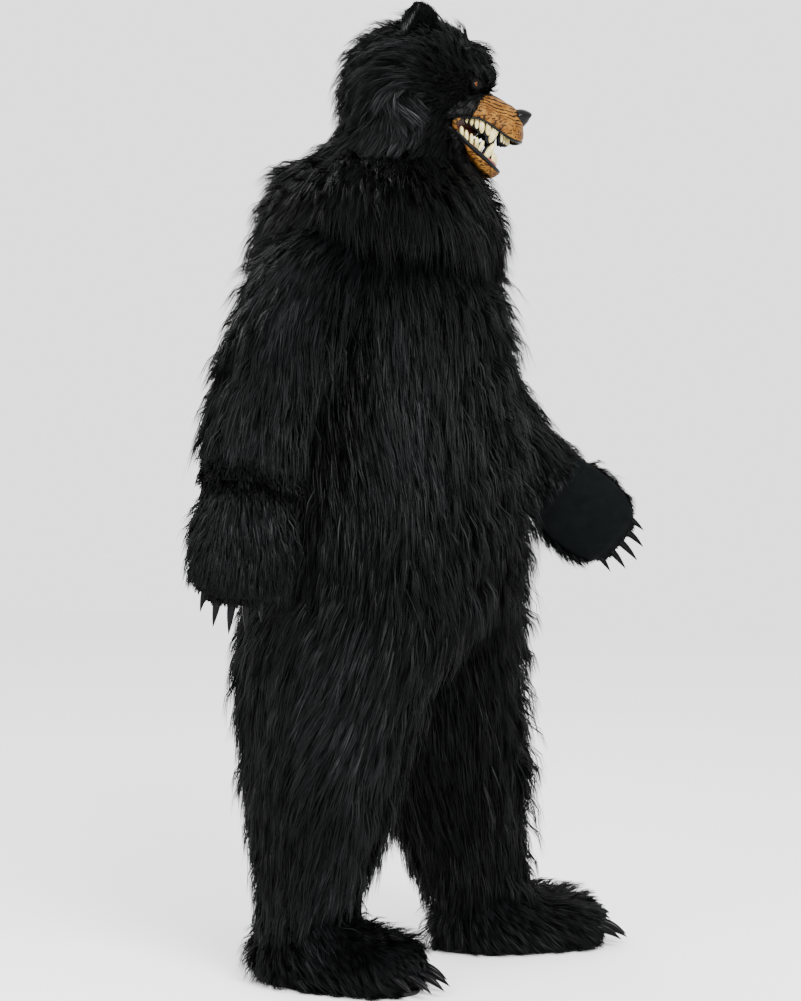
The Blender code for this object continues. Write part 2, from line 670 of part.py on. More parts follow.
def tooth_row(name, sections, teeth, upper, front):
    """Teeth on a gum that follows the inside of the lips, in one piece."""
    ends = np.linspace(front - 0.098, front, 8)
    sizes = np.array([section_at(sections, f) for f in ends])
    share = (gum_height + 0.003) / (sizes[:, 1] - sizes[:, 2] - latex_wall)
    side = (sizes[:, 0] - latex_wall) * (1 - share**2.5) ** 0.4 - gum_width / 2 - 0.0015
    lips = np.array([section_at(sections, f)[2 if upper else 1] for f in ends])
    way = -1 if upper else 1
    forward = np.concatenate([ends, [front + 0.002], ends[::-1]])
    left = np.concatenate([-side, [0.0], side[::-1]])
    height = np.concatenate([lips, lips[-1:], lips[::-1]]) - way * 0.002
    line = np.stack([forward, left], axis=1)
    out = unit(np.gradient(line, axis=0) @ np.array([[0.0, -1.0], [1.0, 0.0]])) * gum_width / 2
    corners = [
        head_point(forward - out[:, 0], left - out[:, 1], height),
        head_point(forward + out[:, 0], left + out[:, 1], height),
        head_point(forward + out[:, 0], left + out[:, 1], height - way * gum_height),
        head_point(forward - out[:, 0], left - out[:, 1], height - way * gum_height),
    ]
    rings = np.stack(corners, axis=1)
    number = np.arange(rings.shape[0] * 4).reshape(-1, 4)
    faces = [face for k in range(len(number) - 1) for face in strip_faces(number[k], number[k + 1], True)]
    faces += [tuple(number[0]), tuple(number[-1])]
    gum = made_object(name, rings.reshape(-1, 3), faces, tooth_resin)
    gone = np.concatenate([[0], np.cumsum(np.linalg.norm(np.diff(line, axis=0), axis=1))])
    for index, tooth in enumerate(teeth):
        for hand in (-1, 1):
            at = gone[len(ends)] + hand * tooth.from_front
            place = [np.interp(at, gone, values) for values in (forward, left, height)]
            root = head_point(*place) - upward * way * gum_height / 2
            tip = root + upward * way * (tooth.length + gum_height / 2) + head_forward * tooth.lean
            peg = cone(f"{name}_peg_{index}_{hand}_cutter", root, tip, tooth.width / 2, 4)
            union = gum.modifiers.new(peg.name, "BOOLEAN")
            union.operation = "UNION"
            union.solver = "EXACT"
            union.object = peg
    outer = grown_arches(sections, upper, -2 * seam_gap)
    inner = grown_arches(sections, upper, latex_wall + 2 * seam_gap)
    latex_room = wall(name + "_room_cutter", outer, inner, False, tan_latex, meets_itself=True)
    latex_room.hide_render = True
    latex_room.display_type = "WIRE"
    cut(gum, latex_room)


def cone(name, root, tip, radius, sides):
    """A hidden tapered peg with a blunt tip, which a Boolean joins or uses."""
    axis = unit(tip - root)
    side = unit(np.cross(axis, [0.3, 0.9, 0.2]))
    other = np.cross(axis, side)
    angle = np.arange(sides) * 2 * math.pi / sides
    ring = side * np.cos(angle)[:, None] + other * np.sin(angle)[:, None]
    profile = [(0.0, 1.0), (1.0, 0.12)]
    grid = np.array([root + (tip - root) * share + ring * radius * size for share, size in profile])
    return filled(name, grid)


tooth_row("upper_teeth", muzzle_sections, upper_teeth, True, 0.250)
tooth_row("lower_teeth", jaw_sections, lower_teeth, False, 0.205)


def nose_pad():
    """The nose: a rounded triangular pad on the front of the muzzle."""
    forward, height = nose_place
    profile = [(-0.020, 0.6), (-0.012, 0.92), (0.0, 1.0), (0.010, 0.72), (0.017, 0.36)]
    angle = np.arange(14) * 2 * math.pi / 14
    breadth = nose_half_breadth * np.cos(angle)
    narrowing = 1 - 0.35 * np.clip(-np.sin(angle), 0, 1)
    rise = np.where(np.sin(angle) > 0, 0.014, 0.022) * np.sin(angle)
    rings = [
        head_point(forward + step + 0.004 * np.sin(angle), breadth * narrowing * size, height + rise * size)
        for step, size in profile
    ]
    number = np.arange(len(profile) * 14).reshape(-1, 14)
    faces = [face for k in range(len(profile) - 1) for face in strip_faces(number[k], number[k + 1], True)]
    faces += [tuple(number[0]), tuple(number[-1])]
    pad = made_object("nose", np.concatenate(rings), faces, nose_latex)
    cut(pad, muzzle_volume)
    return pad


nose = nose_pad()


def ball(name, middle, radius, material):
    """A ball of flat faces, for an eye."""
    shape = bmesh.new()
    bmesh.ops.create_icosphere(shape, subdivisions=2, radius=radius)
    bmesh.ops.translate(shape, verts=shape.verts, vec=Vector(middle))
    points = np.array([v.co for v in shape.verts])
    faces = [tuple(v.index for v in face.verts) for face in shape.faces]
    shape.free()
    return made_object(name, points, faces, material)


def ear(name, hand):
    """A cupped ear: a rounded dish standing on the crown, opening outwards and forwards."""
    rows, columns = 6, 7
    share = np.linspace(0, 1, rows)[:, None]
    across = np.linspace(-1, 1, columns)[None, :]
    half_width = ear_half_width * np.sqrt(np.clip(1 - (share * 0.985) ** 2.6, 0, 1)) * (0.86 + 0.28 * share)
    rise = share * ear_height
    bowl = ear_cup * (1 - across**2) * (0.5 + 0.8 * share - 0.9 * share**2)
    opening = unit(head_left * hand * 0.86 + head_forward * 0.5)
    tall = unit(upward * 0.93 + head_left * hand * 0.30 - head_forward * 0.10)
    opening = unit(opening - tall * (opening @ tall))
    wide = np.cross(tall, opening)
    base = head_point(np.array(ear_base[0]), np.array(hand * ear_base[1]), np.array(ear_base[2]))
    grid = (
        base
        + (half_width * across)[..., None] * wide
        + (rise + 0 * across)[..., None] * tall
        - bowl[..., None] * opening
    )
    back = grid - opening * ear_wall
    made = wall(name, back, grid, False, mask_fur)
    cut(made, hood_volume)
    return made


def eye_middle(hand):
    """The middle of an eye, sunk into the hood's face at its place forward and its height."""
    row = [float(np.interp(eye_place[1], hood_table[:, 0], hood_table[:, k])) for k in (1, 2, 3)]
    angle = np.linspace(0, math.pi / 2, 200)
    face = head_rings(np.array(eye_place[1]), *row, angle * hand, face_taper)
    nearest = int(np.argmin(np.abs(face @ head_forward - eye_place[0])))
    way = np.cross(face[nearest + 1] - face[nearest - 1], upward * hand)
    return face[nearest] - unit(way) * eye_sunk


for side_name, hand in (("right", -1), ("left", 1)):
    place = eye_middle(hand)
    ball("eye_" + side_name, place, eye_radius, eye_resin)
    socket = ball(f"eye_{side_name}_cutter", place, eye_radius + seam_gap + 0.0006, mask_fur)
    socket.hide_render = True
    socket.display_type = "WIRE"
    cut(mask_hood, socket)
    ear("ear_" + side_name, hand)


def claw(name, root, way, droop, length, radius, volume):
    """A curved, pointed claw that starts inside the fur and is trimmed where it leaves it."""
    rows, columns = 5, 6
    share = np.linspace(-0.35, 1, rows)[:, None]
    middles = root + way * length * share + droop * length * 0.32 * np.clip(share, 0, 1) ** 2
    tangent = unit(np.gradient(middles, axis=0))
    side = unit(np.cross(tangent, droop))
    other = np.cross(tangent, side)
    size = radius * np.array([1.0, 1.0, 0.86, 0.56, 0.08])[:, None, None]
    angle = np.arange(columns) * 2 * math.pi / columns
    across = side[:, None] * np.cos(angle)[None, :, None] * 0.8
    along = other[:, None] * np.sin(angle)[None, :, None]
    grid = middles[:, None] + size * (across + along)
    number = np.arange(rows * columns).reshape(rows, columns)
    faces = [face for k in range(rows - 1) for face in strip_faces(number[k], number[k + 1], True)]
    faces += [tuple(number[0]), tuple(number[-1])]
    made = made_object(name, grid.reshape(-1, 3), faces, claw_plastic)
    cut(made, volume)
    return made


# Mitts: a fur back and a plain palm, seamed along both edges of the hand
mitt_columns = 16
mitt_rows = 9


def mitt(side_name, hand, sleeve_round_it):
    """One mitt: its fur back, its palm and its claws. Its cuff presses a seat into the sleeve round it."""
    wrist, tip = np.array(hand.wrist), np.array(hand.tip)
    length = np.linalg.norm(tip - wrist)
    along = (tip - wrist) / length
    palm_way = np.array(hand.palm_faces)
    palm_way = unit(palm_way - along * (palm_way @ along))
    wide = np.cross(along, palm_way)
    table = smooth_rows(mitt_sections, mitt_rows)
    angle = np.arange(mitt_columns + 1) * 2 * math.pi / mitt_columns
    half_turn = mitt_columns // 2
    depth = np.where(np.sin(angle) >= 0, table[:, 2, None], table[:, 3, None])
    share, half_width = table[:, 0, None], table[:, 1, None]
    fullness = 1 + (hand.cuff_fullness - 1) * np.clip(1 - (share + 0.06) / 0.2, 0, 1)
    depth, half_width = depth * fullness, half_width * fullness
    grid = (
        wrist
        + (share * length + 0 * angle)[..., None] * along
        + (half_width * np.cos(angle))[..., None] * wide
        - (depth * np.sin(angle))[..., None] * palm_way
    )
    normals = outward_normals(grid[:, :-1], True, wrist + (share * length) * along - along * 0.03)
    normals[-1] = unit(normals[-1] + along)
    volume = filled(f"mitt_{side_name}_volume_cutter", grid[:, :-1] + normals * seam_gap)
    cut(sleeve_round_it, volume)
    normals = np.concatenate([normals, normals[:, :1]], axis=1)
    pieces = (
        ("back", slice(0, half_turn + 1), mitt_wall, -1, suit_fur),
        ("palm", slice(half_turn, mitt_columns + 1), palm_wall, 1, palm_cloth),
    )
    for piece, columns, thickness, way, material in pieces:
        apart = palm_way * way * seam_gap / 2
        outer = grid[:, columns] + apart
        inner = outer - normals[:, columns] * thickness
        inner[-1] = outer[-1] - along * thickness
        wall(f"mitt_{side_name}_{piece}", outer, inner, False, material)
    for index, row in enumerate(hand_claws):
        spread = row.across
        root = wrist + along * length * (0.975 - 0.20 * spread**2) + wide * spread * 0.072 - palm_way * 0.004
        way = unit(along + wide * spread * 0.22)
        claw(f"claw_hand_{side_name}_{index + 1}", root, way, palm_way, row.length, row.radius, volume)


mitt("right", right_hand, sleeve_right)
mitt("left", left_hand, sleeve_left)

# Foot covers: level rings from the sole to the ankle, over a flat sole
foot_columns = 18
foot_rows = 10


def foot(side_name, place, leg_round_it):
    """One foot cover: fur upper, sole and claws. Its shaft presses a seat into the leg round it."""
    toe_out = math.radians(place.toe_out) * (1 if side_name == "left" else -1)
    forward = np.array([math.sin(toe_out), -math.cos(toe_out), 0.0])
    sideways = np.array([math.cos(toe_out), math.sin(toe_out), 0.0])
    ankle = np.array([place.ankle_x, place.ankle_y, 0.0])
    table = smooth_rows(foot_sections, foot_rows)
    height, heel, toe, half_breadth = (table[:, k, None] for k in range(4))
    angle = np.arange(foot_columns) * 2 * math.pi / foot_columns
    middle, half_length = (heel + toe) / 2, (toe - heel) / 2
    toe_fullness = 1 + 0.10 * np.cos(angle) * np.clip((half_length - 0.08) / 0.1, 0, 1)
    reach = np.sign(np.cos(angle)) * np.abs(np.cos(angle)) ** 0.86
    grid = (
        ankle
        + (middle + half_length * reach)[..., None] * forward
        + (half_breadth * np.sin(angle) * toe_fullness)[..., None] * sideways
        + (height + 0 * angle)[..., None] * upward
    )
    middles = ankle + middle * forward + (height - 0.03) * upward
    normals = outward_normals(grid, True, middles)
    inner = grid - normals * foot_wall
    inner[0, :, 2] = grid[0, :, 2]
    inner[-1, :, 2] = grid[-1, :, 2]
    wall(f"foot_{side_name}_upper", grid, inner, True, suit_fur)
    sole_top = grid[0] - [0, 0, seam_gap]
    sole_bottom = sole_top * [1, 1, 0]
    number = np.arange(2 * foot_columns).reshape(2, -1)
    faces = strip_faces(number[0], number[1], True) + [tuple(number[0]), tuple(number[1])]
    made_object(f"foot_{side_name}_sole", np.concatenate([sole_bottom, sole_top]), faces, sole_rubber)
    volume = filled(f"foot_{side_name}_volume_cutter", grid + normals * seam_gap)
    cut(leg_round_it, volume)
    for index, row in enumerate(foot_claws):
        spread = row.across
        root = ankle + forward * (0.243 - 0.052 * spread**2) + sideways * spread * 0.088 + upward * 0.040
        way = unit(forward + sideways * spread * 0.30 - upward * 0.30)
        claw(f"claw_foot_{side_name}_{index + 1}", root, way, -upward, row.length, row.radius, volume)


foot("right", right_foot, leg_right)
foot("left", left_foot, leg_left)
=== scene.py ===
import math

import bmesh
import bpy
import numpy as np
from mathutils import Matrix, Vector, kdtree, noise


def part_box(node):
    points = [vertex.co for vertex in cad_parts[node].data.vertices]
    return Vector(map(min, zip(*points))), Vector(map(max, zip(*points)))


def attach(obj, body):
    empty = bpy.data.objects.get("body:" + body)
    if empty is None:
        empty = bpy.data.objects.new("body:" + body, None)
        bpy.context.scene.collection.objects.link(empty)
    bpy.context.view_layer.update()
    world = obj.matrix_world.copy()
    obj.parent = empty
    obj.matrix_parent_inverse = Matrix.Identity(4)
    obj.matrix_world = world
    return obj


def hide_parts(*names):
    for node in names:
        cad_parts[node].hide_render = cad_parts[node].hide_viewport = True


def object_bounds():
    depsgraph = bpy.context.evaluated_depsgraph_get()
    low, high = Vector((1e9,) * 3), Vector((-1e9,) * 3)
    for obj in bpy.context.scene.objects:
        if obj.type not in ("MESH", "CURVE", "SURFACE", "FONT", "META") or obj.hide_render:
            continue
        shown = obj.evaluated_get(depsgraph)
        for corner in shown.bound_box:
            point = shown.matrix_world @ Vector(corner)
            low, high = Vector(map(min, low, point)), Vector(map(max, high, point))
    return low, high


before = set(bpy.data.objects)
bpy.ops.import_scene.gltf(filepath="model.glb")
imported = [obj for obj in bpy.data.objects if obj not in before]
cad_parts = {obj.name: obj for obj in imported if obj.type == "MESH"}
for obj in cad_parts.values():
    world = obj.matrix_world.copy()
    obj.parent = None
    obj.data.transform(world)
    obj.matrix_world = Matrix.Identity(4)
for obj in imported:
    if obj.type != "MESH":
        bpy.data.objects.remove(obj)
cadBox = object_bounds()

print("frame loaded")

shoulderHeight = 1.47  # the origin's height above the floor
headTurn = math.radians(24)
headForward = np.array([math.sin(headTurn), -math.cos(headTurn), 0.0])
headLeft = np.array([math.cos(headTurn), math.sin(headTurn), 0.0])
up = np.array([0.0, 0.0, 1.0])
down = -up
bothWays = {"right": -1, "left": 1}  # the costume's own sides, and which way each lies


def headPoint(forward, left, height):
    # a place on the head: how far forward and left of the suit's middle, and its height above the floor
    return headForward * forward + headLeft * left + up * (height - shoulderHeight)


def floorPoint(x, y, height):
    return np.array([x, y, height - shoulderHeight])


def headLine(*rows):
    return [headPoint(*row) for row in rows]


def floorLine(*rows):
    return [floorPoint(*row) for row in rows]


def heightOf(points):
    return points[:, 2] + shoulderHeight


def onHead(points):
    return points @ headForward, points @ headLeft, heightOf(points)


def behindLine(points, edge):
    forward, left, height = onHead(points)
    return forward < edge["forward"] + (height - edge["height"]) * edge["lean"]


def unit(vectors):
    vectors = np.asarray(vectors, float)
    return vectors / np.maximum(np.linalg.norm(vectors, axis=-1, keepdims=True), 1e-9)


def fade(value, start, end):
    share = np.clip((value - start) / (end - start), 0, 1)
    return share * share * (3 - 2 * share)


def hump(value, middle, breadth):
    # 1 at the middle, falling away to both sides
    return np.exp(-(((value - middle) / breadth) ** 2))


def newMaterial(name, roughness=0.5, specular=0.5):
    made = bpy.data.materials.new(name)
    made.use_nodes = True
    shader = made.node_tree.nodes["Principled BSDF"]
    shader.inputs["Roughness"].default_value = roughness
    shader.inputs["Specular IOR Level"].default_value = specular
    return made, made.node_tree, shader


def addNode(tree, kind, inputs, **settings):
    # a shader node; each of its inputs is a plain value or another node's output
    node = tree.nodes.new("ShaderNode" + kind)
    for key, value in settings.items():
        setattr(node, key, value)
    for socket, value in inputs.items():
        if isinstance(value, bpy.types.NodeSocket):
            tree.links.new(value, node.inputs[socket])
        else:
            node.inputs[socket].default_value = value
    return node


def paintWith(tree, shader, colour):
    tree.links.new(colour, shader.inputs["Base Color"])


def ramp(tree, source, stops):
    node = addNode(tree, "ValToRGB", {"Fac": source})
    while len(node.color_ramp.elements) < len(stops):
        node.color_ramp.elements.new(0.5)
    for element, (place, colour) in zip(node.color_ramp.elements, stops):
        element.position = place
        element.color = (*colour, 1.0)
    return node.outputs["Color"]


def mixColours(tree, kind, first, second, amount=1.0):
    first, second = ((*c, 1.0) if isinstance(c, tuple) else c for c in (first, second))
    node = addNode(tree, "Mix", {0: amount, 6: first, 7: second}, data_type="RGBA", blend_type=kind)
    return node.outputs[2]


def turnedPlace(tree, turn=(0, 0, 0), scale=(1, 1, 1), kind="POINT"):
    # the piece's own place, for a pattern
    # with TEXTURE, turn is the pattern's frame and scale the size of its marks
    own = addNode(tree, "TexCoord", {}).outputs["Object"]
    mapping = addNode(tree, "Mapping", {"Rotation": turn, "Scale": scale, "Vector": own}, vector_type=kind)
    return mapping.outputs["Vector"]


def noiseAt(tree, vector, scale, detail=3.0, rough=0.55, distortion=0.0):
    values = {"Scale": scale, "Detail": detail, "Roughness": rough, "Distortion": distortion,
              "Vector": vector}
    return addNode(tree, "TexNoise", values).outputs["Fac"]


def addBump(tree, shader, height, strength, distance):
    bump = addNode(tree, "Bump", {"Strength": strength, "Distance": distance, "Height": height})
    tree.links.new(bump.outputs["Normal"], shader.inputs["Normal"])


def grainMaterial(name, roughness, specular, grain, stops, relief, depth=0.001, detail=3.0, rough=0.55,
                  stretch=(1, 1, 1)):
    # one finish, broken up by a fine grain that is also its relief
    made, tree, shader = newMaterial(name, roughness, specular)
    marks = noiseAt(tree, turnedPlace(tree, scale=stretch), grain, detail, rough)
    paintWith(tree, shader, ramp(tree, marks, stops))
    addBump(tree, shader, marks, relief, depth)
    return made


def furMaterial(name, tones, rootShade, tipShade, roughness, specular):
    # tone runs across the hairs' own map, and their length runs up it; each hair is painted darker towards
    # its root, as shade among the hairs
    made, tree, shader = newMaterial(name, roughness, specular)
    hairs = addNode(tree, "UVMap", {}, uv_map="OFBake").outputs["UV"]
    parts = addNode(tree, "SeparateXYZ", {"Vector": hairs})
    tone = ramp(tree, parts.outputs["X"], tones)
    along = ramp(tree, parts.outputs["Y"], [(0.0, rootShade), (0.55, (0.8, 0.8, 0.8)), (1.0, tipShade)])
    paintWith(tree, shader, mixColours(tree, "MULTIPLY", tone, along))
    return made


furTones = [
    (0.0, (0.0010, 0.0011, 0.0012)),
    (0.40, (0.0024, 0.0026, 0.0028)),
    (0.70, (0.0075, 0.0080, 0.0084)),
    (0.92, (0.0230, 0.0240, 0.0245)),
    (1.0, (0.0600, 0.0610, 0.0620)),
]
maskFurTones = [(place, tuple(0.9 * c for c in colour)) for place, colour in furTones[:-1]]
maskFurTones = maskFurTones + [(1.0, (0.095, 0.096, 0.098))]
longFur = furMaterial("longFurHair", furTones, (0.30,) * 3, (1.0,) * 3, 0.45, 0.055)
maskFur = furMaterial("maskFurHair", maskFurTones, (0.35,) * 3, (1.0,) * 3, 0.48, 0.05)
furGround = grainMaterial(  # the matt, finely knitted black ground that the pile stands on, kept darker still as painted shade in the gaps between hairs
    "furGroundCloth", 0.8, 0.04, 190.0, [(0.35, (0.0006, 0.0006, 0.0007)), (0.72, (0.0030, 0.0031, 0.0033))],
    relief=0.7, depth=0.004, detail=5.0, rough=0.65, stretch=(1, 1, 0.16))


def newObject(name, data):
    made = bpy.data.objects.new(name, data)
    bpy.context.scene.collection.objects.link(made)
    return made


def selectOnly(*chosen):
    bpy.ops.object.select_all(action="DESELECT")
    for made in chosen:
        made.select_set(True)
    bpy.context.view_layer.objects.active = chosen[0]


studio = {
    "floorSize": 14.0,
    "floorColour": (0.93, 0.93, 0.93, 1.0),
    "worldColour": (1.0, 1.0, 1.0, 1.0),
    "worldStrength": 2.2,
    "lamps": {  # how far beyond the costume, aside and up, then power and size
        "keyLight": (-3.4, 1.3, 1.9, 460.0, 1.8),
        "fillLight": (-3.0, -2.6, 1.2, 160.0, 2.5),
        "rimLight": (2.4, -2.0, 2.8, 90.0, 1.6),
    },
    "lampAim": -0.3,
    "cameraAzimuth": math.radians(-66),
    "cameraDistance": 5.0,
    "cameraHeight": 1.15,
    "cameraAside": 0.031,
    "cameraTilt": math.radians(2.37),
    "lens": 89.91,
}


def buildStudio():
    bpy.ops.mesh.primitive_plane_add(size=studio["floorSize"], location=(0, 0, -shoulderHeight - 0.001))
    floor = bpy.context.object
    floor.name = "studioFloor"
    floorPaint, _, shader = newMaterial("studioFloorPaint", 0.9, 0.2)
    shader.inputs["Base Color"].default_value = studio["floorColour"]
    floor.data.materials.append(floorPaint)
    world = bpy.data.worlds.new("studioWorld")
    world.use_nodes = True
    sky = world.node_tree.nodes["Background"]
    sky.inputs["Color"].default_value = studio["worldColour"]
    sky.inputs["Strength"].default_value = studio["worldStrength"]
    bpy.context.scene.world = world
    turn = studio["cameraAzimuth"]
    away = np.array([-math.sin(turn), math.cos(turn), 0.0])
    aside = np.array([math.cos(turn), math.sin(turn), 0.0])
    for name, (beyond, across, high, power, size) in studio["lamps"].items():
        lamp = bpy.data.lights.new(name, "AREA")
        lamp.energy = power
        lamp.size = size
        holder = newObject(name, lamp)
        place = away * beyond + aside * across + up * high
        holder.location = place
        holder.rotation_euler = Vector(up * studio["lampAim"] - place).to_track_quat("-Z", "Y").to_euler()
    camera = bpy.data.cameras.new("photoCamera")
    camera.lens = studio["lens"]
    camera.sensor_width = 36
    holder = newObject("photoCamera", camera)
    across = aside * studio["cameraAside"]
    holder.location = (across - away * studio["cameraDistance"]
                       + up * (studio["cameraHeight"] - shoulderHeight))
    holder.rotation_euler = (math.pi / 2 - studio["cameraTilt"], 0, turn)
    bpy.context.scene.camera = holder


buildStudio()
print("studio ready")

# where each piece's hollow runs, so that its outer side is known
torsoLine = floorLine((0, 0, 0.70), (0, 0, 1.36), (0.008, -0.01, 1.60))
legLines = {
    "right": floorLine((-0.15, 0.0, 0.80), (-0.16, 0.05, 0.45), (-0.16, 0.09, 0.08)),
    "left": floorLine((0.15, 0.0, 0.80), (0.205, -0.044, 0.45), (0.253, -0.094, 0.08)),
}
armLines = {
    "right": floorLine((-0.12, 0.020, 1.415), (-0.230, 0.034, 1.376), (-0.338, 0.052, 1.250),
                       (-0.400, 0.063, 1.140), (-0.447, 0.070, 0.960)),
    "left": floorLine((0.12, 0.010, 1.415), (0.230, 0.000, 1.372), (0.322, -0.012, 1.256),
                      (0.386, -0.040, 1.146), (0.446, -0.096, 1.046), (0.520, -0.180, 0.945)),
}
hoodLine = headLine((0.03, 0, 1.60), (0.05, 0, 1.70), (0.06, 0, 1.80))
bibLine = headLine((-0.015, 0, 1.30), (0.0, 0, 1.66))
muzzleLine = headLine((0.05, 0, 1.68), (0.24, 0, 1.68))
jawLine = headLine((0.05, 0, 1.70), (0.20, 0, 1.65))
muzzleEdge = dict(forward=0.176, height=1.708, lean=0.65)  # where the fur gives way to bare latex
jawEdge = dict(forward=0.160, height=1.640, lean=-0.25)


def nearestOnLine(points, line):
    # the nearest place to each point on a line of several stretches
    line = np.asarray(line, float)
    best = np.full(len(points), np.inf)
    found = np.zeros((len(points), 3))
    for start, end in zip(line[:-1], line[1:]):
        step = end - start
        share = np.clip(((points - start) @ step) / max(step @ step, 1e-12), 0, 1)
        place = start + share[:, None] * step
        away = ((points - place) ** 2).sum(1)
        nearer = away < best
        best[nearer] = away[nearer]
        found[nearer] = place[nearer]
    return found


def awayFrom(line, points):
    return unit(points - nearestOnLine(points, line))


def readAll(items, key, size=3, kind=float):
    values = np.zeros(len(items) * size, kind)
    items.foreach_get(key, values)
    return values.reshape(-1, size)


def nodeTriangles(nodeName):
    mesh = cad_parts[nodeName].data
    mesh.calc_loop_triangles()
    return readAll(mesh.vertices, "co")[readAll(mesh.loop_triangles, "vertices", kind=np.int32)]


def outerTriangles(nodeName, line, least):
    # the node's triangles that face away from the line through its hollow, with smooth corner normals
    corners = nodeTriangles(nodeName)
    cross = np.cross(corners[:, 1] - corners[:, 0], corners[:, 2] - corners[:, 0])
    area = np.linalg.norm(cross, axis=1) / 2
    keep = area > 1e-9
    if line is not None:
        keep = keep & ((unit(cross) * awayFrom(line, corners.mean(1))).sum(1) > least)
    corners, cross, area = corners[keep], cross[keep], area[keep]
    keys, number = np.unique((corners.reshape(-1, 3) * 20000).round().astype(np.int64), axis=0,
                             return_inverse=True)
    number = number.reshape(-1)
    total = np.zeros((len(keys), 3))
    np.add.at(total, number, np.repeat(cross, 3, axis=0))
    return corners, unit(total)[number].reshape(-1, 3, 3), area


def softNoise(points, scale, seed):
    shift = Vector((seed * 7.13, seed * 3.71, seed * 5.37))
    return np.array([noise.noise(Vector(p) * scale + shift) for p in points])


def cleanMesh(mesh, merge=None):
    # merges the corners that meet and turns the faces outwards
    work = bmesh.new()
    work.from_mesh(mesh)
    if merge:
        bmesh.ops.remove_doubles(work, verts=work.verts, dist=merge)
    bmesh.ops.recalc_face_normals(work, faces=work.faces)
    work.to_mesh(mesh)
    work.free()


def copyOfNode(name, nodeName, material):
    # a merged copy of a CAD node, to be made into the piece that stands for it
    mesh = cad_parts[nodeName].data.copy()
    mesh.name = name
    mesh.materials.clear()
    mesh.materials.append(material)
    cleanMesh(mesh, 0.00002)
    made = newObject(name, mesh)
    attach(made, "root")
    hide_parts(nodeName)
    return made


def inSlot(made, nodeName=None):
    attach(made, "root")
    if nodeName:
        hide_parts(nodeName)


def pointsOf(made):
    return readAll(made.data.vertices, "co"), readAll(made.data.vertices, "normal")


def setPoints(made, co):
    made.data.vertices.foreach_set("co", co.reshape(-1))
    made.data.update()


def subdivide(made, levels):
    selectOnly(made)
    added = made.modifiers.new("subsurf", "SUBSURF")
    added.levels = added.render_levels = levels
    bpy.ops.object.modifier_apply(modifier=added.name)


def smoothCopy(name, nodeName, material, levels=0):
    # a CAD node's copy that needs no other form of its own
    made = copyOfNode(name, nodeName, material)
    if levels:
        subdivide(made, levels)
    made.data.shade_smooth()
    return made


def joined(name, parts):
    selectOnly(*parts)
    bpy.ops.object.join()
    made = bpy.context.object
    made.name = made.data.name = name
    return made


def tubeAlong(name, path, radii, material, sides=3, smoothness=4):
    # a solid tube along points, each with its own radius, closed at both ends
    curve = bpy.data.curves.new(name, "CURVE")
    curve.dimensions = "3D"
    curve.resolution_u = smoothness
    curve.bevel_depth = 1.0
    curve.bevel_resolution = sides
    curve.use_fill_caps = True
    line = curve.splines.new("NURBS")
    line.points.add(len(path) - 1)
    for point, place, radius in zip(line.points, path, radii):
        point.co = (*place, 1.0)
        point.radius = radius
    line.order_u = 4
    line.use_endpoint_u = True
    selectOnly(newObject(name, curve))
    bpy.ops.object.convert(target="MESH")
    made = bpy.context.object
    made.data.materials.clear()
    made.data.materials.append(material)
    cleanMesh(made.data, 0.00001)
    made.data.shade_smooth()
    return made


cadLow, cadHigh = (np.array(corner, float) for corner in cadBox)
furProud = 0.03 * (cadHigh - cadLow) + 0.006  # how far a hair may stand out of the whole solid
furLow, furHigh = cadLow - furProud, cadHigh + furProud
hairStops = np.linspace(0, 1, 3) ** 0.92  # every hair's root, middle and tip
hairSpread = dict(  # how much locks and hairs differ, as shares of the pile's own sizes
    lockLength=(0.72, 1.25), hairLength=(0.78, 1.10), lockLift=(1.5, 2.8), hairRise=0.0015,
    gather=(0.35, 1.1), width=(0.65, 1.25), waist=0.62, roll=0.9, middleTone=0.38, patchTone=0.34,
    lockTone=0.18, hairTone=0.13,
)


def optional(region, key, points, plain):
    return region[key](points) if key in region else plain


def alongSurface(vectors, out):
    return vectors - out * (vectors * out).sum(1)[:, None]


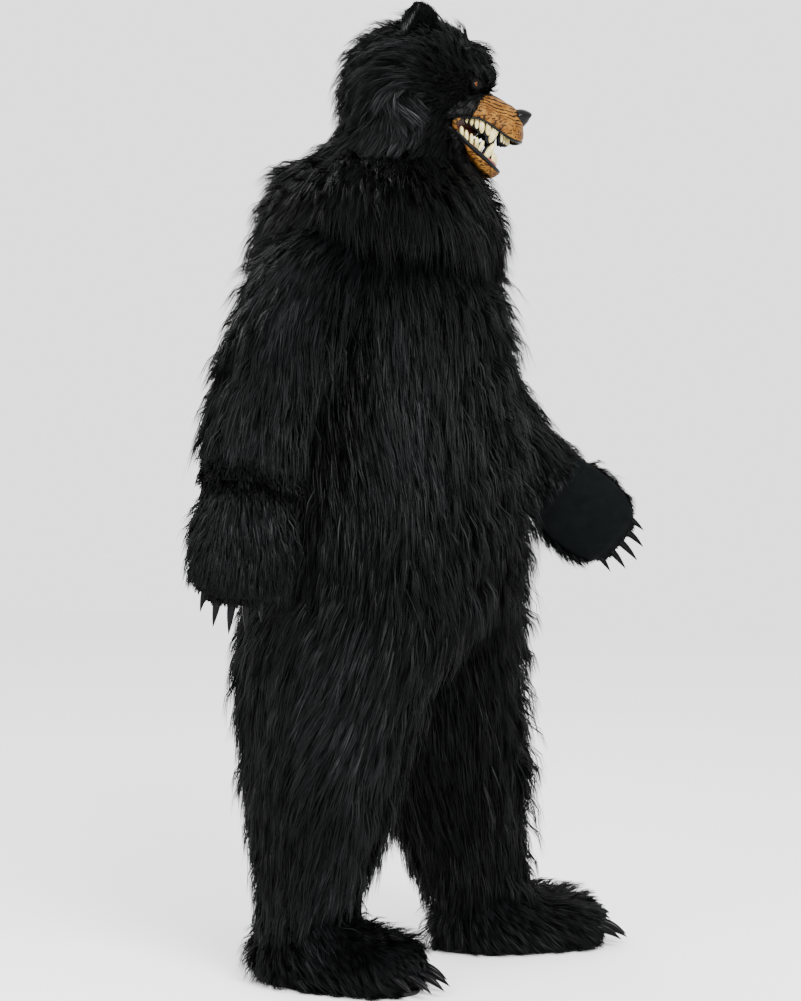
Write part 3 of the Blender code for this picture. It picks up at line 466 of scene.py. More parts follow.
def growFur(region, material):
    # pointed locks of flat tapering hairs, rooted below the CAD's outer face and laid along the flow
    name, seed, count, spread = "fur" + region["title"], region["seed"], region["count"], hairSpread
    rng = np.random.default_rng(seed)
    corners, normals, area = outerTriangles(region["node"], region["line"], region.get("least", 0.35))
    weight = area * optional(region, "thin", corners.mean(1), 1.0)
    picked = rng.choice(len(corners), count, p=weight / weight.sum())
    a, b = rng.random(count), rng.random(count)
    fold = a + b > 1
    a[fold], b[fold] = 1 - a[fold], 1 - b[fold]
    shares = np.stack([1 - a - b, a, b], axis=1)[:, :, None]
    roots = (corners[picked] * shares).sum(1)
    out = unit((normals[picked] * shares).sum(1))
    if "keep" in region:
        kept = region["keep"](roots)
        roots, out = roots[kept], out[kept]
        count = len(roots)

    lockCount = max(count // region["hairsInLock"], 8)
    lockRoots = roots[:lockCount]
    tree = kdtree.KDTree(lockCount)
    for k in range(lockCount):
        tree.insert(lockRoots[k], k)
    tree.balance()
    lock = np.array([tree.find(p)[1] for p in roots])
    flow = region["flow"](lockRoots, out[:lockCount])
    side = np.cross(out[:lockCount], flow)
    turn = softNoise(lockRoots, region["swirlScale"], seed) * region["wander"] * 2
    turn = turn + rng.normal(0, region["wander"] * 0.5, lockCount)
    lockFlow = unit(alongSurface(unit(flow + side * turn[:, None])[lock], out))
    lockFlow = unit(lockFlow + rng.normal(0, region["stray"], (count, 3)))

    lockLength = region["length"] * rng.uniform(*spread["lockLength"], lockCount)
    lengthHere = optional(region, "lengthAt", roots, np.ones(count))
    length = lockLength[lock] * rng.uniform(*spread["hairLength"], count) * lengthHere
    lift = rng.beta(*spread["lockLift"], lockCount)
    rise = region["lowest"] + (region["highest"] - region["lowest"]) * lift[lock]
    rise = rise + rng.normal(0, spread["hairRise"], count)
    rise = rise + (rng.random(lockCount) < region["wildShare"])[lock] * region["wild"]
    rise = rise * np.clip(lengthHere, 0.35, 1.0) * optional(region, "riseAt", roots, 1.0)

    depth = region["depth"]
    toCentre = alongSurface(lockRoots[lock] - roots, out)
    gather = region["gather"] * rng.uniform(*spread["gather"], count)
    places = []
    for share in hairStops:
        height = -depth + (depth + rise) * math.sin(min(share / 0.85, 1.0) * math.pi / 2)
        place = roots + lockFlow * (length * share)[:, None] + out * height[:, None]
        place = place + toCentre * (gather * share**1.25)[:, None]
        places.append(place + down * (length * region["droop"] * share**2)[:, None])
    places = np.clip(np.stack(places, axis=1), furLow, furHigh)
    offFloor = 0.0015 - shoulderHeight + 0.0005 * np.arange(3)
    places[:, :, 2] = np.maximum(places[:, :, 2], offFloor)

    along = unit(places[:, 1] - places[:, 0])
    roll = rng.uniform(-spread["roll"], spread["roll"], count)[:, None]
    wide = unit(np.cross(along, out))
    wide = unit(wide * np.cos(roll) + np.cross(along, wide) * np.sin(roll))
    halfWidth = region["width"] / 2 * rng.uniform(*spread["width"], count)
    base, waist = wide * halfWidth[:, None], wide * (halfWidth * spread["waist"])[:, None]
    root, middle, tip = places.swapaxes(0, 1)
    points = np.stack([root - base, root + base, middle - waist, middle + waist, tip], axis=1)
    tone = (spread["middleTone"]
            + spread["patchTone"] * softNoise(lockRoots, region["patchScale"], seed + 11)[lock])
    tone = tone + rng.uniform(-spread["lockTone"], spread["lockTone"], lockCount)[lock]
    tone = tone + rng.normal(0, spread["hairTone"], count) + optional(region, "toneAt", roots, 0.0)
    made = hairMesh(name, points, np.clip(tone, 0.01, region.get("palest", 0.95)), material)
    print(name, count, "hairs")
    return made


def hairMesh(name, points, tone, material):
    # every hair is a tapering ribbon, a quad that ends in a triangle
    count = len(points)
    hair = np.arange(count)[:, None]
    corners = np.array([0, 1, 3, 2, 2, 3, 4])
    loops = corners + hair * 5
    mesh = bpy.data.meshes.new(name)
    mesh.vertices.add(count * 5)
    mesh.vertices.foreach_set("co", points.reshape(-1))
    mesh.loops.add(loops.size)
    mesh.loops.foreach_set("vertex_index", loops.reshape(-1).astype(np.int32))
    mesh.polygons.add(count * 2)
    mesh.polygons.foreach_set("loop_start", (np.array([0, 4]) + hair * 7).reshape(-1).astype(np.int32))
    mesh.polygons.foreach_set("loop_total", np.tile([4, 3], count).astype(np.int32))
    mesh.update(calc_edges=True)
    across = np.array([-1, 1, -1, 1, 0]) * 0.002
    lengthways = 0.01 + 0.98 * hairStops[[0, 0, 1, 1, 2]]
    uv = np.zeros((count, 7, 2))
    uv[:, :, 0] = (0.004 + 0.992 * tone)[:, None] + across[corners]
    uv[:, :, 1] = lengthways[corners]
    mesh.uv_layers.new(name="OFBake").data.foreach_set("uv", uv.reshape(-1))
    mesh.materials.append(material)
    mesh.shade_smooth()
    made = newObject(name, mesh)
    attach(made, "root")
    return made


def clothOf(panel, furPiece):
    # the shell keeps the panel's inner face, and its outer face is drawn in to where the pile is rooted
    made = copyOfNode("cloth" + panel["title"], panel["node"], furGround)
    co, normals = pointsOf(made)
    away = normals if panel["line"] is None else awayFrom(panel["line"], co)
    isOuter = (normals * away).sum(1) > 0.15
    drawn = np.where(isOuter[:, None], away * 0.55 + normals * 0.45, 0)
    setPoints(made, co - drawn * panel["inset"])
    if "rounding" in panel:
        subdivide(made, panel["rounding"])
    made.data.shade_smooth()
    area = readAll(made.data.polygons, "area", 1).sum() / 2  # one face of the two
    print(f"{made.name}: {area:.3f} m2 of {panel['area']} m2 cut")
    return made


def limbFlow(line, pull):
    # along the limb, with some gravity
    line = np.asarray(line, float)

    def flowAt(points, out):
        steps = unit(np.diff(line, axis=0))
        middles = (line[:-1] + line[1:]) / 2
        near = ((points[:, None, :] - middles[None, :, :]) ** 2).sum(2).argmin(1)
        return unit(steps[near] + down * pull)

    return flowAt


bellyCrease = dict(  # from the belly down between the legs; its shade and ahead darken the pile as painted shade in and ahead of the crease
    forward=0.156, height=0.90, lean=0.25, top=1.00, blend=0.14, sweep=0.36, shade=0.22, ahead=0.14)
hip = dict(sweep=0.22, low=0.78, high=1.00)
# a paler streak down the chest, painted as a highlight
chestPaintedHighlight = dict(forward=0.005, breadth=0.055, tone=0.14)


def aheadOfCrease(points):
    height, crease = heightOf(points), bellyCrease
    ahead = points @ headForward - crease["forward"] - crease["lean"] * (height - crease["height"])
    return ahead, 1 - fade(height, crease["top"] - crease["blend"], crease["top"])


def fallFlow(points, out):
    # down, outwards over what lies level, swept back over the right hip and forward into the crease
    level = np.clip(out[:, 2:], 0, 1)
    outward = unit(points * [1, 1, 0] + 1e-6)
    nearSide = np.clip(-out @ headLeft, 0, 1)
    ahead, below = aheadOfCrease(points)
    sweep = bellyCrease["sweep"] * hump(ahead, -0.045, 0.045) * below
    overHip = (1 - fade(heightOf(points), hip["low"], hip["high"])) * (1 - fade(ahead, -0.14, -0.08))
    sweep = sweep - hip["sweep"] * overHip
    return unit(down * (1 - 0.6 * level) + outward * level + headForward * (sweep * nearSide)[:, None])


def bellyPaintedShadeAndHighlight(points):
    # painted shade deep in the crease and over the pile ahead of it, and a paler streak down the chest
    # painted as a highlight
    ahead, below = aheadOfCrease(points)
    shade = (bellyCrease["ahead"] * fade(ahead, -0.005, 0.012)
             + bellyCrease["shade"] * hump(ahead, 0.008, 0.018))
    chest = hump(points @ headForward, chestPaintedHighlight["forward"], chestPaintedHighlight["breadth"])
    chest = chest * fade(heightOf(points), 1.05, 1.25)
    return paintedShadeBesideArms(points) - 0.04 - shade * below + chestPaintedHighlight["tone"] * chest


def paintedShadeBesideArms(points):
    # painted shade: darker pile where a sleeve hangs against the torso
    away = [np.linalg.norm(points - nearestOnLine(points, line), axis=1) for line in armLines.values()]
    return -0.38 * (1 - fade(np.min(away, axis=0), 0.12, 0.20))


def backPaintedShade(points):
    # painted shade: the back darker than the front, and beside the arms
    return paintedShadeBesideArms(points) - 0.12


def torsoThin(points):
    # hardly any hairs where the mask's bib lies over the suit
    return np.where(points[:, 2] < 0.03, 1.0, 0.02)


def bellyHem(points):
    return 1 + 0.5 * (1 - fade(heightOf(points), 0.80, 0.95)) * softNoise(points, 24.0, 4)


legCrease = dict(  # down the outside of the right leg, where the pile parts; its tone is painted shade along the parting
    forward=-0.180, breadth=0.020, behindSweep=0.16, frontSweep=0.38, reach=0.07, tone=0.20)


def sweptLegFlow(points, out):
    # along the leg, with the pile in front combed back to the crease and the pile behind it forward
    ahead, reach = points @ headForward - legCrease["forward"], legCrease["reach"]
    sweep = legCrease["behindSweep"] * (1 - fade(ahead, -reach, 0.0))
    sweep = (sweep - legCrease["frontSweep"] * fade(ahead, 0.0, reach)) * np.clip(-out @ headLeft, 0, 1)
    return unit(limbFlow(legLines["right"], 0.3)(points, out) + headForward * sweep[:, None])


def rightLegPaintedShade(points):
    # painted shade along the parting and beside the arms
    parting = hump(points @ headForward, legCrease["forward"], legCrease["breadth"])
    return paintedShadeBesideArms(points) - 0.03 - legCrease["tone"] * parting


def leftLegPaintedShade(points):
    # painted shade over the far leg, lighter towards its upper front
    return -0.24 + 0.16 * fade(heightOf(points), 0.55, 0.80) * fade(points @ headForward, 0.08, 0.15)


def trouserLength(points):
    # shorter and uneven towards the hem
    hem = 1 - fade(heightOf(points), 0.15, 0.32)
    return 1 - 0.26 * hem + 0.22 * hem * softNoise(points, 30.0, 9)


def frontRise(start, end):
    # looser locks along the front outline
    return lambda points: 1 + 0.7 * fade(points @ headForward, start, end)


def aboveCuff(points):
    # height over the line where the right sleeve's long pile ends, lower at the front of the arm
    hem = 1.050 - 0.040 * fade(points @ headForward, -0.25, -0.17)
    return heightOf(points) - hem


hands = {
    "right": dict(wrist=floorPoint(-0.447, 0.074, 0.985), tip=floorPoint(-0.470, 0.096, 0.766), palm=1),
    "left": dict(wrist=floorPoint(0.502, -0.160, 0.968), tip=floorPoint(0.606, -0.288, 0.832), palm=-1),
}
palmFacing = np.array([0.914, 0.407, 0])  # the right palm's way in; the left one faces the other way
for hand in hands.values():
    hand["reach"] = float(np.linalg.norm(hand["tip"] - hand["wrist"]))
    hand["along"] = unit(hand["tip"] - hand["wrist"])
    hand["wide"] = unit(np.cross(hand["along"], palmFacing * hand["palm"]))
    hand["palmWay"] = np.cross(hand["wide"], hand["along"])
    hand["line"] = [hand["wrist"] - hand["along"] * 0.05,
                    hand["wrist"] + hand["along"] * hand["reach"] * 0.84]


def leftSleeveLength(points):
    # the hem hairs stay short where they would hang over the mitt's bare palm
    hand = hands["left"]
    fromWrist = points - hand["wrist"]
    overPalm = ((fromWrist @ hand["along"]) / hand["reach"] > -0.30) & (fromWrist @ hand["palmWay"] > -0.01)
    return np.where(overPalm, 0.22, 0.50 + 0.50 * fade(heightOf(points), 0.99, 1.12))


longHair = dict(  # inset is how far below the CAD's face the cloth lies
    inset=0.010, hairsInLock=11, length=0.082, wander=0.16, swirlScale=5.0, stray=0.05,
    lowest=-0.010, highest=0.014, depth=0.011, gather=0.72, droop=0.10, width=0.0025, patchScale=7.0,
    wildShare=0.17, wild=0.018,
)
shortHair = dict(
    inset=0.006, hairsInLock=10, length=0.040, wander=0.22, swirlScale=9.0, stray=0.07,
    lowest=-0.004, highest=0.017,
    depth=0.006, gather=0.60, droop=0.10, width=0.0019, patchScale=12.0, wildShare=0.12, wild=0.010,
)
torsoPanel = dict(longHair, line=torsoLine, flow=fallFlow, thin=torsoThin)
backPanel = dict(torsoPanel, flat=(0.46, 0.86), area=0.29, count=17500, toneAt=backPaintedShade)
legPanel = dict(longHair, flat=(0.90, 0.72), area=0.61, lengthAt=trouserLength)
sleevePanel = dict(longHair, flat=(0.66, 0.52), area=0.27)
suitCloth = [  # a thin cloth shell for each CAD panel, with its pile as a piece of its own
    dict(torsoPanel, title="TorsoFront", node="torso_front", flat=(0.9, 0.86), area=0.58, count=40000, seed=1,
         toneAt=bellyPaintedShadeAndHighlight, riseAt=frontRise(0.14, 0.21), lengthAt=bellyHem),
    dict(backPanel, title="TorsoBackLeft", node="torso_back_left", seed=2),
    dict(backPanel, title="TorsoBackRight", node="torso_back_right", seed=7),
    dict(legPanel, title="LegRight", node="leg_right", line=legLines["right"], count=31500, seed=3,
         flow=sweptLegFlow, thin=lambda p: np.where(p[:, 0] > -0.006, 0.3, 1.0), toneAt=rightLegPaintedShade),
    dict(legPanel, title="LegLeft", node="leg_left", line=legLines["left"], count=30500, seed=4,
         flow=limbFlow(legLines["left"], 0.3), thin=lambda p: np.where(p[:, 0] < 0.006, 0.3, 1.0),
         toneAt=leftLegPaintedShade, riseAt=frontRise(0.12, 0.20)),
    dict(sleevePanel, title="SleeveRight", node="sleeve_right", line=armLines["right"], count=24000, seed=5,
         flow=limbFlow(armLines["right"], 0.5),
         lengthAt=lambda p: 0.18 + 0.82 * fade(aboveCuff(p), 0.0, 0.065),
         toneAt=lambda p: -0.12 - 0.30 * (1 - fade(aboveCuff(p), -0.010, 0.015))),
    dict(sleevePanel, title="SleeveLeft", node="sleeve_left", line=armLines["left"], count=22000, seed=6,
         flow=limbFlow(armLines["left"], 0.7), lengthAt=leftSleeveLength, toneAt=lambda p: -0.14),
]
for panel in suitCloth:
    clothOf(panel, growFur(panel, longFur))
print("jumpsuit done")

# the mask's fur is short round the face and swept back and then down, with a paler ruff on each cheek
face = dict(forward=0.185, height=1.735)
ruff = dict(forward=0.036, height=1.710, reach=0.05, breadth=0.042, tallness=0.062, tone=0.28)
forehead = dict(forward=0.208, height=1.790, reach=0.026, tone=0.40)


def closeTo(spot, forward, height):
    return np.exp(-((forward - spot["forward"]) ** 2 + (height - spot["height"]) ** 2) / spot["reach"] ** 2)


def maskFlow(points, out):
    forward, left, height = onHead(points)
    fromFace = np.stack([forward - face["forward"], left * 0.5, height - face["height"]], axis=1)
    distance = np.linalg.norm(fromFace, axis=1, keepdims=True)
    swept = fromFace / distance
    swept = swept[:, :1] * headForward + swept[:, 1:2] * headLeft + swept[:, 2:] * up
    flow = unit(swept + down * (fade(distance[:, 0], 0.10, 0.34)[:, None] * 1.5))
    inRuff = closeTo(ruff, forward, height)[:, None]
    fall = np.clip((ruff["height"] + 0.005 - height) * 14, 0, 1)[:, None]
    turned = unit(headForward * (1.0 - 0.5 * fall) + down * (0.30 + 0.70 * fall))
    flow = unit(flow * (1 - 0.85 * inRuff) + turned * 0.85 * inRuff)
    brow = (fade(forward, 0.150, 0.190) * fade(height, 1.768, 1.795))[:, None]
    return unit(flow * (1 - 0.8 * brow) + unit(down + headForward * 0.35) * 0.8 * brow)


def fromEars(points):
    places = headLine((0.072, -0.085, 1.880), (0.072, 0.085, 1.880))
    return np.min([np.linalg.norm(points - place, axis=1) for place in places], axis=0)


def eyeCentre(side):
    low, high = (np.array(corner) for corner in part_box("eye_" + side))
    return (low + high) / 2


def clearOfEyes(points):
    return np.min([np.linalg.norm(points - eyeCentre(side), axis=1) for side in bothWays], axis=0) > 0.0165


def maskLength(points):
    forward, left, height = onHead(points)
    distance = np.sqrt((forward - face["forward"]) ** 2 + (height - face["height"]) ** 2)
    hem = 1.8 - 0.8 * fade(height, 1.615, 1.680)  # the hood's lowest hairs fall over the bib
    nape = 1.35 - 0.35 * fade(forward, -0.10, -0.02)
    nearFace = 0.32 + 0.68 * fade(distance, 0.03, 0.17)
    return hem * nape * nearFace * (0.30 + 0.70 * fade(fromEars(points), 0.035, 0.075))


def maskTone(points):
    forward, left, height = onHead(points)
    inRuff = hump(forward, ruff["forward"], ruff["breadth"]) * hump(height, ruff["height"], ruff["tallness"])
    cheek = fade(forward, 0.07, 0.11) * (1 - fade(height, 1.80, 1.84))
    # painted shade: the pile darker at the nape
    nape = 1 - fade(forward, -0.06, 0.0)
    pale = ruff["tone"] * inRuff + forehead["tone"] * closeTo(forehead, forward, height)
    return pale - 0.36 * cheek - 0.16 * nape


def bibFlow(points, out):
    outward = unit(points * [1, 1, 0] + 1e-6)
    return unit(down + outward * (0.15 + 0.8 * np.clip(out[:, 2:], 0, 1)))


def aboveBibHem(points):
    forward, left, height = onHead(points)
    aside = np.clip((left / 0.268) ** 2, 0, 1)
    return height - 1.438 * (1 - aside) - 1.510 * aside


def bibLength(points):
    # longer and uneven towards the hem, so that it melts into the suit
    atHem = 1 - fade(aboveBibHem(points), 0.0, 0.10)
    return 1.0 + 0.65 * atHem + 0.45 * atHem * softNoise(points, 26.0, 5)


def bibPaintedShade(points):
    # painted shade: darker over the back and the shoulders than on the chest
    return -0.27 + 0.13 * fade(points @ headForward, 0.05, 0.18)


maskHair = dict(shortHair, least=0.2, flow=maskFlow)
rootHair = dict(maskHair, depth=0.0005, gather=0.5)  # the pile's edge on the bare latex
maskPiles = [
    dict(maskHair, title="Hood", node="mask_hood", line=hoodLine, flat=(0.72, 0.36), area=0.21,
         count=26000, seed=21, keep=clearOfEyes, lengthAt=maskLength, toneAt=maskTone, length=0.046,
         lowest=-0.006, highest=0.010, wildShare=0.24, wild=0.020,
         riseAt=lambda p: 0.4 + 0.6 * fade(heightOf(p), 1.625, 1.680)),
    dict(maskHair, title="Bib", node="mask_bib", line=bibLine, flat=(1.58, 0.22), area=0.26,
         count=22000, seed=22,
         flow=bibFlow, length=0.060, highest=0.016, width=0.0022, wildShare=0.22, wild=0.022, palest=0.88,
         lengthAt=bibLength, toneAt=bibPaintedShade, riseAt=lambda p: 0.35 + 0.65 * fade(aboveBibHem(p), 0.0, 0.06)),
    dict(rootHair, title="MuzzleRoot", node="muzzle", line=muzzleLine, count=9000, seed=23, length=0.015,
         lowest=0.0005, highest=0.004, width=0.0014, wildShare=0.0, palest=0.10,
         keep=lambda p: behindLine(p, muzzleEdge), toneAt=lambda p: -0.48),
    dict(rootHair, title="JawRoot", node="jaw", line=jawLine, count=5000, seed=24, length=0.026,
         lowest=0.001, highest=0.008, width=0.0018, keep=lambda p: behindLine(p, jawEdge),
         toneAt=lambda p: -0.25),
]
maskMade = [growFur(part, maskFur) for part in maskPiles]
for part, pile in zip(maskPiles, maskMade):
    if "flat" in part:
        clothOf(part, pile)

earRim = dict(low=(0.033, 1.850), high=(0.069, 1.915), breadth=0.0038)  # forward and height of its pale edge


def earTone(points):
    forward, left, height = onHead(points)
    low, high = np.array(earRim["low"]), np.array(earRim["high"])
    step = high - low
    place = np.stack([forward, height], axis=1)
    share = np.clip((place - low) @ step / (step @ step), 0, 1)
    away = np.linalg.norm(place - low - share[:, None] * step, axis=1)
    return 0.85 * hump(away, 0, earRim["breadth"]) - 0.22


earHair = dict(
    shortHair, line=None, inset=0.0006, rounding=1, flat=(0.09, 0.08), area=0.0045, count=3200,
    length=0.013, depth=0.001, lowest=0.0, highest=0.003, width=0.0013, hairsInLock=5, wild=0.003,
    palest=0.985, toneAt=earTone,
    flow=lambda points, out: unit(np.tile(up * 0.8 - headForward * 0.35, (len(points), 1))),
    lengthAt=lambda points: 1 - 0.75 * fade(heightOf(points), 1.885, 1.908),
)
for side, way in bothWays.items():
    ear = dict(earHair, title="Ear" + side.title(), node="ear_" + side, seed=25 + way)
    clothOf(ear, growFur(ear, maskFur))
print("mask fur done")

palmCloth, tree, shader = newMaterial("palmFabric", 0.85, 0.04)
weave = noiseAt(tree, turnedPlace(tree), 900.0, 2.0)
creases = noiseAt(tree, turnedPlace(tree, scale=(1, 1, 1.6)), 26.0, 4.0, 0.55, 0.6)
paintWith(tree, shader, ramp(
    tree, creases, [(0.3, (0.0010, 0.0015, 0.0016)), (0.75, (0.0022, 0.0030, 0.0031))]))
addBump(tree, shader, mixColours(tree, "MIX", creases, weave, 0.25), 0.35, 0.006)
clawHorn = grainMaterial(
    "clawHornPlastic", 0.20, 0.055, 140.0,
    [(0.3, (0.0012, 0.0012, 0.0014)), (0.8, (0.0035, 0.0035, 0.0040))], 0.12)
soleRubber = grainMaterial(
    "soleRubberBlack", 0.7, 0.3, 320.0, [(0.3, (0.004,) * 3), (0.8, (0.012,) * 3)], relief=0.4, detail=2.0)

handClaws = [  # place across the hand as a share of half its width, length, radius
    (-0.74, 0.042, 0.0074), (-0.40, 0.048, 0.0080), (-0.03, 0.050, 0.0082), (0.34, 0.048, 0.0080),
    (0.68, 0.042, 0.0074),
]
footClaws = [
    (-0.70, 0.050, 0.0086), (-0.38, 0.056, 0.0094), (-0.04, 0.058, 0.0096), (0.32, 0.056, 0.0094),
    (0.66, 0.050, 0.0086),
]
clawForm = dict(
    shares=np.array([-0.12, 0.0, 0.18, 0.36, 0.54, 0.72, 0.88, 1.0]),
    taper=np.array([0.90, 1.0, 0.97, 0.88, 0.72, 0.50, 0.24, 0.02]), bend=0.30,
)


def makeClaw(name, nodeName, root, way, droop, length, radius):
    # a curved horn, round in section, that bends over towards its point
    bend = clawForm["bend"]
    path = [root + way * length * s + droop * length * bend * max(s, 0) ** 2 for s in clawForm["shares"]]
    inSlot(tubeAlong(name, path, radius * clawForm["taper"], clawHorn, smoothness=3),
           nodeName)


mittHair = dict(
    shortHair, inset=0.005, flat=(0.22, 0.29), area=0.054, least=0.25, count=13500, length=0.046,
    lowest=-0.003, highest=0.020, width=0.0023, hairsInLock=9,
)
palmBand = dict(start=-0.05, end=0.15, proud=0.0044, inside=0.0012)  # a plain band at the palm's wrist edge


def buildMitt(side, hand):
    along, wide, palmWay, reach, wrist = (hand[key] for key in ("along", "wide", "palmWay", "reach", "wrist"))

    def shareAlong(points):
        return (points - wrist) @ along / reach

    def handFlow(points, out):
        spread = ((points - wrist) @ wide)[:, None] * wide * 4.0
        return unit(np.tile(along + down * 0.25, (len(points), 1)) + spread)

    def handLength(points):
        # short at the cuff and over the fingertips
        share = shareAlong(points)
        return (1.0 - 0.78 * fade(share, 0.60, 0.93)) * (0.30 + 0.70 * fade(share, 0.05, 0.13))

    def handTone(points):
        share = shareAlong(points)
        return 0.14 * hump(share, 0.22, 0.16) - 0.11 - 0.30 * (1 - fade(share, 0.04, 0.10))

    title = side.title()
    back = dict(mittHair, title="Mitt" + title, node=f"mitt_{side}_back", line=hand["line"],
                seed=31 + len(side), lengthAt=handLength, toneAt=handTone, flow=handFlow)
    clothOf(back, growFur(back, longFur))
    palm = smoothCopy("palm" + title, f"mitt_{side}_palm", palmCloth)
    band = copyOfNode("palmBand" + title, f"mitt_{side}_palm", palmCloth)
    selectOnly(band)
    bpy.ops.object.mode_set(mode="EDIT")
    for place, cut in ((palmBand["start"], "clear_inner"), (palmBand["end"], "clear_outer")):
        bpy.ops.mesh.select_all(action="SELECT")
        bpy.ops.mesh.bisect(
            plane_co=wrist + along * reach * place, plane_no=along, use_fill=True, **{cut: True})
    bpy.ops.object.mode_set(mode="OBJECT")
    co, normals = pointsOf(band)
    away = awayFrom(hand["line"], co)
    facing = (normals * away).sum(1)
    setPoints(band, co + away * np.where(facing > 0, palmBand["proud"], palmBand["inside"])[:, None])
    band.data.shade_smooth()
    for number, (across, length, radius) in enumerate(handClaws, 1):
        root = wrist + along * reach * (0.985 - 0.20 * across**2) + wide * across * 0.072 - palmWay * 0.001
        way, droop = unit(along + wide * across * 0.22), unit(palmWay + down * 0.9)
        makeClaw(f"clawHand{title}{number}", f"claw_hand_{side}_{number}", root, way, droop, length, radius)


for side, hand in hands.items():
    buildMitt(side, hand)
print("mitts done")

feet = {
    "right": dict(ankle=floorPoint(-0.163, 0.090, 0), turn=math.radians(-4)),
    "left": dict(ankle=floorPoint(0.265, -0.118, 0), turn=math.radians(37)),
}
footHair = dict(
    shortHair, flat=(0.62, 0.30), area=0.137, least=0.25, count=14000, length=0.052,
    lowest=-0.003, highest=0.018, depth=0.007, width=0.0024, droop=0.05, wildShare=0.25, wild=0.020,
    # painted shade: the feet's pile darker throughout
    thin=lambda points: np.where(points[:, 2] > -1.318, 0.1, 1.0), toneAt=lambda points: -0.12,
)


def buildFoot(side, ankle, turn):
    forward = np.array([math.sin(turn), -math.cos(turn), 0.0])
    sideways = np.array([math.cos(turn), math.sin(turn), 0.0])
    middle = ankle + up * 0.066
    line = [ankle + up * 0.19, middle, middle + forward * 0.175]

    def footFlow(points, out):
        spread = unit((points - ankle) * [1, 1, 0] + 1e-6)
        return unit(down * 0.6 + spread * 0.5 + forward * 0.5)

    def footLength(points):
        return 1.0 - 0.70 * fade((points - ankle) @ forward, 0.17, 0.235)

    def settleInstep(made):
        # the padding sinks a little behind the toes
        co, _ = pointsOf(made)
        reach = (co - ankle) @ forward
        sunk = fade(reach, 0.05, 0.12) * (1 - 0.6 * fade(reach, 0.19, 0.26)) * fade(heightOf(co), 0.04, 0.15)
        co[:, 2] -= 0.016 * sunk
        setPoints(made, co)

    title = side.title()
    upper = dict(footHair, title="Foot" + title, node=f"foot_{side}_upper", line=line, seed=41 + len(side),
                 lengthAt=footLength, flow=footFlow)
    pile = growFur(upper, longFur)
    for made in (pile, clothOf(upper, pile)):
        settleInstep(made)
    smoothCopy("sole" + title, f"foot_{side}_sole", soleRubber)
    for number, (across, length, radius) in enumerate(footClaws, 1):
        root = ankle + forward * (0.245 - 0.050 * across**2) + sideways * across * 0.088 + up * 0.042
        way = unit(forward + sideways * across * 0.30 - up * 0.22)
        makeClaw(f"clawFoot{title}{number}", f"claw_foot_{side}_{number}", root, way, down, length, radius)


for side, foot in feet.items():
    buildFoot(side, **foot)
print("feet done")

latexColours = dict(
    tan=(0.114, 0.047, 0.0075), ochre=(0.190, 0.090, 0.0150), shade=(0.048, 0.016, 0.002),
    paint=(0.0016,) * 3, black=(0.0006, 0.0006, 0.0007),
)
black, white = (0, 0, 0), (1, 1, 1)


def latexMaterial(name, slope, bridge, cover, edge):
    # tan latex with painted hair strokes
    # long ones run along the bridge, and short dashes rise forward on the cheeks
    made, tree, shader = newMaterial(name, 0.48, 0.06)

    def inPattern(lean, size=(1, 1, 1)):
        return turnedPlace(tree, (0, slope - math.radians(lean), headTurn - math.pi / 2), size, "TEXTURE")

    def step(value, start, end):
        values = {"From Min": start, "From Max": end, "Value": value}
        return addNode(tree, "MapRange", values).outputs["Result"]

    mottle = noiseAt(tree, turnedPlace(tree), 60.0, 4.0, 0.6)
    colours = [(0.28, latexColours["shade"]), (0.48, latexColours["tan"]), (0.72, latexColours["ochre"])]
    base = ramp(tree, mottle, colours)
    inFrame = addNode(tree, "SeparateXYZ", {"Vector": inPattern(0)})
    onBridge = step(inFrame.outputs["Z"], bridge, bridge + 0.014)
    longStrokes = noiseAt(tree, inPattern(17, (0.026, 0.0062, 0.0062)), 1.0, 1.5, 0.4, 0.35)
    dashes = noiseAt(tree, inPattern(52, (0.012, 0.0030, 0.0030)), 1.0, 1.5, 0.4, 0.3)
    bands = {"Scale": 46.0, "Distortion": 7.0, "Detail": 1.5, "Detail Scale": 0.80, "Vector": inPattern(17)}
    lines = addNode(tree, "TexWave", bands, bands_direction="Z").outputs["Fac"]
    lineMask = ramp(tree, lines, [(0.62, black), (0.76, white)])
    longMask = mixColours(tree, "MULTIPLY", lineMask, ramp(tree, longStrokes, [(0.38, black), (0.43, white)]))
    dashMask = ramp(tree, dashes, [(cover + 0.020, black), (cover + 0.060, (0.88, 0.88, 0.88))])
    strokes = mixColours(tree, "MIX", dashMask, longMask, onBridge)
    painted = mixColours(tree, "MIX", base, latexColours["paint"], strokes)
    aheadOfFur = {0: turnedPlace(tree), 1: headForward - up * edge["lean"]}
    across = addNode(tree, "VectorMath", aheadOfFur, operation="DOT_PRODUCT").outputs["Value"]
    ragged = {0: dashes, 1: 0.016, 2: across}
    ragged = addNode(tree, "Math", ragged, operation="MULTIPLY_ADD").outputs["Value"]
    place = edge["forward"] - (edge["height"] - shoulderHeight) * edge["lean"] + 0.008
    isBare = step(ragged, place - 0.0015, place + 0.0015)
    paintWith(tree, shader, mixColours(tree, "MIX", latexColours["black"], painted, isBare))
    addBump(tree, shader, mixColours(tree, "MIX", mottle, longStrokes, 0.5), 0.5, 0.0025)
    return made


